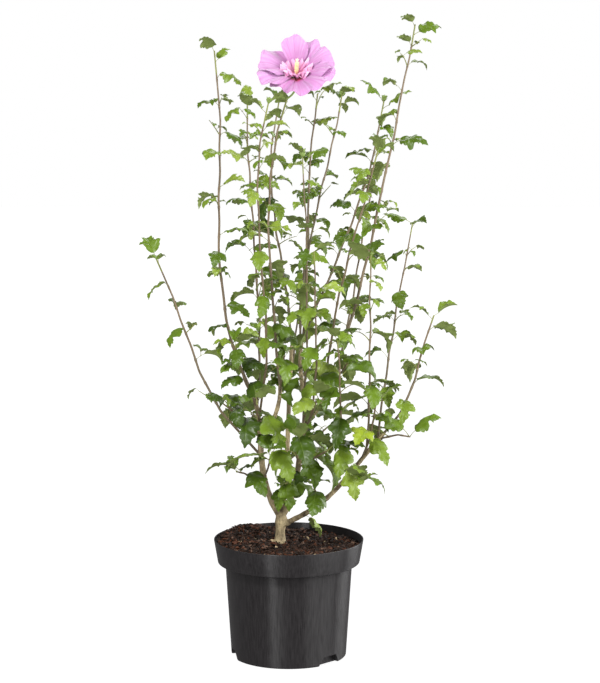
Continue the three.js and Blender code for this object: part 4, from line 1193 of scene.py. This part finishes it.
RUFF = [
    (96, 0.023, 38, 14, 40, 0.0038), (62, 0.026, 38, 14, 44, 0.0042), (30, 0.029, 38, 20, 60, 0.0050),
    (130, 0.026, 38, 14, 44, 0.0042), (160, 0.030, 38, 20, 62, 0.0050), (0, 0.030, 38, 16, 66, 0.0050),
    (186, 0.030, 38, 16, 76, 0.0050), (-26, 0.028, 38, 4, 78, 0.0046), (208, 0.028, 38, 4, 78, 0.0046),
    (-50, 0.023, 40, -8, 76, 0.0042), (-76, 0.0205, 40, -14, 72, 0.0038),
    (-102, 0.0205, 40, -14, 72, 0.0038), (-128, 0.023, 40, -8, 76, 0.0042),
    (78, 0.018, 32, 10, 38, 0.0032), (146, 0.024, 34, 12, 46, 0.0042), (44, 0.023, 34, 12, 46, 0.0042),
    (-14, 0.023, 34, 4, 60, 0.0040), (198, 0.023, 34, 4, 60, 0.0040), (112, 0.018, 32, 10, 38, 0.0032),
    (-64, 0.016, 36, -16, 60, 0.0034), (-116, 0.016, 36, -16, 60, 0.0034)]
PETAL_STEPS = (20, 30)  # along and across
PETAL_COURSE = 8  # steps in which a petal's bend is followed
PETAL_SPAN = 0.06
RUFF_SPAN = 0.030
PETAL_LIFT = 0.0022  # how far one edge of a petal laps over the next
RUFF_LIFT = 0.001
COLUMN_LENGTH = 0.030
COLUMN_RADII = (0.0017, 0.0010)
COLUMN_STEPS = 12
ANTHERS = 84
ANTHER_SIZE = (0.0006, 0.0009)
ANTHER_TURN = 2.39996
FILAMENT_LENGTH = (0.0018, 0.0031)
FILAMENT_RADIUS = 0.0002
STYLES = 5
STYLE_REACH = (0.002, 0.0042)  # sideways and ahead
STYLE_RADII = (0.0004, 0.0003, 0.0003)
STIGMA_SIZE = 0.0008
PETAL_TONES = ((160, 78, 137), (172, 122, 168), (187, 150, 189))  # deep, full, pale
RUFF_TONES = ((204, 66, 124), (214, 142, 194), (236, 194, 228))
CRIMSON = (206, 10, 62)
PETAL_BANDS = (0.25, 0.3, 0.42)  # shares of the reach where crimson ends, deep and full tones stand
RUFF_BANDS = (0.12, 0.2, 0.42)
CREAM_TONE = (250, 240, 206)
ANTHER_TONE = (252, 236, 172)
SEPAL_TONE = (122, 142, 74)
SEPAL_LENGTH = 0.018
SEPAL_SPREAD = 44
CUP_SPAN = (-0.013, 0.003)  # its foot and its lip, along the flower's axis
CUP_RADII = (0.0019, 0.0023, 0.0031, 0.0039, 0.0044, 0.0046, 0.0042, 0.0032, 0.0022)
CALYX_DROP = -0.007
CALYX_FOOT = Vector((0, 0, -0.018))
CALYX_LEAD = Vector((0, 0, -0.014))  # from the calyx's foot, where its stalk turns to it
FLOWER_STALK_RADII = [0.0014] * 12 + [0.0018]
BUDS = [("stem_bud", 0.0046), ("stem_right_slant", 0.0034), ("stem_left_front", 0.0032),
        ("stem_upright_back", 0.0034), ("stem_right_front", 0.0030)]  # stem and radius
BUD_FULLNESS = (0.3, 0.62, 0.86, 0.98, 1.0, 0.95, 0.84, 0.68, 0.48, 0.27, 0.1)

face = Vector(FLOWER_FACE).normalized()
level = UPRIGHT.cross(face).normalized()
flower_place = Matrix.Translation(Vector(FLOWER_THROAT) - face * PETAL_CUP)
flower_place @= Matrix((level, face.cross(level), face)).transposed().to_4x4()


def petal(rand, turn, length, half_angle, base_open, edge_open, ruffle, lift):
    """A petal as a thin closed sheet, in the flower's own frame with the face along Z."""
    steps, sides = PETAL_STEPS
    phase = rand.uniform(0, math.tau)
    corners = []
    for layer in (1, -1):
        for i in range(steps + 1):
            s = i / steps
            for k in range(sides + 1):
                t = math.sin(math.pi * (k / sides - 0.5))
                edge = (1 - 0.66 * abs(t) ** 2.8) ** 0.5
                edge += 0.026 * math.sin(6.5 * t + phase) + 0.013 * math.sin(14 * t + 2 * phase)
                reach = length * s * edge
                broad = math.radians(half_angle) * t * (0.7 + 0.3 * min(1, s * 2.2))
                a = math.radians(turn) + broad
                r, h = PETAL_BASE, 0
                for j in range(PETAL_COURSE):
                    middle = (j + 0.5) / PETAL_COURSE * s
                    tilt = math.radians(base_open + (edge_open - base_open) * middle ** 0.8)
                    r += math.sin(tilt) * reach / PETAL_COURSE
                    h += math.cos(tilt) * reach / PETAL_COURSE
                wave = ruffle * s ** 2.2 * math.sin(6.5 * t + phase * 2)
                wave += 0.34 * ruffle * s ** 4 * math.sin(11.5 * t + phase)
                pleat = 0.00022 * math.sin(34 * t) * s * (1 - 0.5 * s)
                curl = -0.004 * max(0, s - 0.8) / 0.2 * (length / 0.06)
                h += wave + pleat + curl * (1 - t * t) * 0.6 + lift * t + layer * PETAL_SHEET / 2
                corners.append(Vector(around(r, a, h)))
    row = sides + 1
    layer_size = (steps + 1) * row
    faces = []
    for i in range(steps):
        for k in range(sides):
            a = i * row + k
            quad = (a, a + row, a + row + 1, a + 1)
            faces += [quad, tuple(layer_size + corner for corner in reversed(quad))]
    rim = list(range(row)) + [i * row + sides for i in range(1, steps + 1)]
    rim += [steps * row + k for k in reversed(range(sides))]
    rim += [i * row for i in reversed(range(1, steps))]
    for a, b in zip(rim, rim[1:] + rim[:1]):
        faces.append((a, b, b + layer_size, a + layer_size))
    return corners, faces, 0


def petal_silk(name, tones, span, bands):
    """Thin lavender petal: crimson in the throat, deeper along its radial veins."""
    deep, full, pale = (colour(*tone) for tone in tones)
    crimson = colour(*CRIMSON)
    material, tree, surface = new_finish(name)
    place = lay(tree, "TexCoord", {})["Object"]
    reach = lay(tree, "VectorMath", {0: place}, operation="LENGTH")["Value"]
    outward = lay(tree, "MapRange", {"Value": reach, "From Max": span})["Result"]
    rings = ramp(tree, outward, crimson, pale, 0.08, 0.9)
    for position, tone in zip(bands, (crimson, deep, full)):
        rings.node.color_ramp.elements.new(position).color = tone
    axes = lay(tree, "SeparateXYZ", {"Vector": place})
    angle = lay(tree, "Math", {0: axes["Y"], 1: axes["X"]}, operation="ARCTAN2")["Value"]
    ray = lay(tree, "CombineXYZ", {"X": angle, "Y": reach})["Vector"]
    veins = lay(tree, "TexNoise", {"Vector": ray, "Scale": 16, "Detail": 3})["Fac"]
    tint = lay(tree, "Mix", {"Factor": between(tree, veins, 0.0, 0.55), "A": rings, "B": deep},
               data_type="RGBA")["Result"]
    feed(surface, {
        "Base Color": tint,
        "Roughness": 0.6,
        "Specular IOR Level": 0.2,
        "Sheen Weight": 0.35,
        "Subsurface Weight": 0.42,
        "Subsurface Radius": (1.0, 0.6, 0.95),
        "Subsurface Scale": 0.002})
    relief(surface, veins, 0.0004)
    return material


def pollen(name, tone):
    """The column's dusty cream and its yellow anthers."""
    return plain_skin(name, tone, 0.5, (0.6, 0.85), 0.0003, 2600, (1, 1, 1), 2.0)


def bead(at, size, tone):
    """A small round body: two tips and two six-sided rings between them."""
    corners = [at + Vector((0, 0, -size)), at + Vector((0, 0, size))]
    for z in (-0.5, 0.5):
        corners += [at + Vector(around(0.87, k * math.tau / 6, z)) * size for k in range(6)]
    faces = []
    for k in range(6):
        on = (k + 1) % 6
        faces += [(0, 2 + on, 2 + k), (2 + k, 2 + on, 8 + on, 8 + k), (1, 8 + k, 8 + on)]
    return corners, faces, tone


petal_rand = random.Random(21)
petals = [petal(petal_rand, *row, PETAL_LIFT) for row in PETALS]
ruff = [petal(petal_rand, *row, RUFF_LIFT) for row in RUFF]
petal_finish = petal_silk("petal_silk", PETAL_TONES, PETAL_SPAN, PETAL_BANDS)
ruff_finish = petal_silk("ruff_silk", RUFF_TONES, RUFF_SPAN, RUFF_BANDS)
green_piece("flower_petals", FLOWER_STEM, petals, [petal_finish], 70, flower_place)
green_piece("flower_ruff", FLOWER_STEM, ruff, [ruff_finish], 70, flower_place)

column_points = [Vector((0, 0, 0.001 + COLUMN_LENGTH * t)) for t in shares(COLUMN_STEPS)]
column = [tube(column_points, [taper(COLUMN_RADII, t) for t in shares(COLUMN_STEPS)], 12)]
for k in range(ANTHERS):
    start = Vector((0, 0, COLUMN_LENGTH * (0.3 + 0.66 * k / ANTHERS)))
    out = Vector(around(1, k * ANTHER_TURN, 0.35)).normalized()
    end = start + out * petal_rand.uniform(*FILAMENT_LENGTH)
    column.append(tube([start, (start + end) / 2, end], [FILAMENT_RADIUS] * 3, 4))
    column.append(bead(end, petal_rand.uniform(*ANTHER_SIZE), 1))
for k in range(STYLES):
    start = Vector((0, 0, COLUMN_LENGTH))
    end = start + Vector(around(STYLE_REACH[0], math.tau * k / STYLES, STYLE_REACH[1]))
    column.append(tube([start, start.lerp(end, 0.5), end], STYLE_RADII, 5))
    column.append(bead(end, STIGMA_SIZE, 0))
column_finishes = [pollen("column_cream", CREAM_TONE), pollen("anther_yellow", ANTHER_TONE)]
green_piece("flower_column", FLOWER_STEM, column, column_finishes, 70, flower_place)


def sepals(rand, size, spread):
    """A calyx: five pointed sepals round a cup, and a ring of seven narrow bracts below them."""
    points = [petal(rand, 72 * k + 20, size, 34, spread, spread + 8, size * 0.02, 0) for k in range(5)]
    return points + [petal(rand, 360 / 7 * k, size * 0.62, 11, spread + 14, spread + 22, 0, 0)
                     for k in range(7)]


calyx = sepals(random.Random(8), SEPAL_LENGTH, SEPAL_SPREAD)
cup = [Vector((0, 0, taper(CUP_SPAN, t))) for t in shares(len(CUP_RADII) - 1)]
calyx.append(tube(cup, CUP_RADII, 14))
drop = Vector((0, 0, CALYX_DROP))
calyx = [([corner + drop for corner in corners], faces, tone) for corners, faces, tone in calyx]
stem_end = flower_place.inverted() @ lines[FLOWER_STEM](1)
lead = CALYX_FOOT + CALYX_LEAD
stalk = [stem_end * (1 - t) ** 2 + lead * 2 * t * (1 - t) + CALYX_FOOT * t ** 2
         for t in shares(len(FLOWER_STALK_RADII) - 1)]
calyx.append(tube(stalk, FLOWER_STALK_RADII, 9))
sepal_green = leaf_tone("sepal_green", SEPAL_TONE, 0.6)
green_piece("flower_calyx", FLOWER_STEM, calyx, [sepal_green], 60, flower_place)

for mass, size in BUDS:
    tip = lines[mass](1)
    ahead = (tip - lines[mass](0.97)).normalized()
    spin = UPRIGHT.rotation_difference(ahead).to_matrix().to_4x4()
    body = [Vector((0, 0, size * (-0.4 + 2.9 * t))) for t in shares(len(BUD_FULLNESS) - 1)]
    bud = [tube(body, [size * value for value in BUD_FULLNESS], 12)]
    bud += sepals(random.Random(mass), size * 2.3, 14)
    green_piece(mass + "_bud", mass, bud, [sepal_green], 60, Matrix.Translation(tip) @ spin)

# ---- studio ----
# A plain pale floor under soft lamps. The eye stands a little lower than the crown's top and looks
# slightly down.
EYE = (0, -3.2, 0.915)
EYE_DOWN = 7.80
EYE_RIGHT = 0.303
LENS = 114.64
SENSOR = 36
FLOOR_TONE = (236, 236, 236)
FLOOR_GLOW = 0.94
FLOOR_REACH = 9
AIR_LIGHT = 0.19


def studio_floor():
    """A pale lit floor that runs on past what the eye takes in."""
    material, tree, surface = new_finish("studio_floor")
    feed(surface, {
        "Base Color": colour(*FLOOR_TONE),
        "Emission Color": WHITE,
        "Emission Strength": FLOOR_GLOW,
        "Roughness": between(tree, grain(tree, 30), 0.7, 0.8)})
    corners = [(x * FLOOR_REACH, y * FLOOR_REACH, 0) for x, y in ((-1, -1), (1, -1), (1, 1), (-1, 1))]
    floor = mesh_object("floor", corners, [(0, 1, 2, 3)], materials=[material])
    floor.visible_glossy = False
    return floor


def studio_air():
    """Soft light from all round, behind which the room itself is plain white."""
    world = bpy.data.worlds.new("studio")
    world.use_nodes = True
    tree = world.node_tree
    light = tree.nodes["Background"]
    feed(light, {"Color": WHITE, "Strength": AIR_LIGHT})
    white = lay(tree, "Background", {"Color": WHITE})["Background"]
    seen = lay(tree, "LightPath", {})["Is Camera Ray"]
    either = lay(tree, "MixShader", {"Fac": seen, 1: light.outputs["Background"], 2: white})["Shader"]
    feed(tree.nodes["World Output"], {"Surface": either})
    bpy.context.scene.world = world


def lamp(name, at, aim, size, watts):
    """A soft rectangular lamp aimed at a place; it lights the plant and not the floor."""
    light = bpy.data.lights.new(name, "AREA")
    light.shape = "RECTANGLE"
    light.size, light.size_y = size
    light.energy = watts
    holder = bpy.data.objects.new(name, light)
    holder.light_linking.receiver_collection = lamp_reach
    bpy.context.scene.collection.objects.link(holder)
    holder.location = at
    holder.rotation_euler = (Vector(aim) - Vector(at)).to_track_quat("-Z", "Y").to_euler()


lamp_reach = bpy.data.collections.new("lamp_reach")
lamp_reach.objects.link(studio_floor())
lamp_reach.collection_objects[0].light_linking.link_state = "EXCLUDE"
studio_air()
lamp("key", (-0.9, -1.9, 2.9), (0, 0, 0.5), (0.6, 0.6), 95)
lamp("side", (2.05, -1.1, 1.1), (0, 0, 0.3), (2.6, 2.0), 88)
lamp("back", (0.4, 2.4, 2.4), (0, 0, 0.6), (2.0, 1.2), 30)
lamp("strip", (-0.72, -1.3, 0.75), (0, 0, 0.1), (0.03, 1.2), 11)
lamp("edge", (2.0, 1.0, 0.7), (0, 0, 0.15), (1.3, 1.2), 34)
bpy.context.scene.view_settings.view_transform = "Standard"

camera = bpy.data.cameras.new("camera")
camera.sensor_fit = "AUTO"
camera.sensor_width = SENSOR
camera.lens = LENS
eye = bpy.data.objects.new("camera", camera)
eye.location = EYE
eye.rotation_euler = (math.radians(90 - EYE_DOWN), 0, math.radians(-EYE_RIGHT))
bpy.context.scene.collection.objects.link(eye)
bpy.context.scene.camera = eye
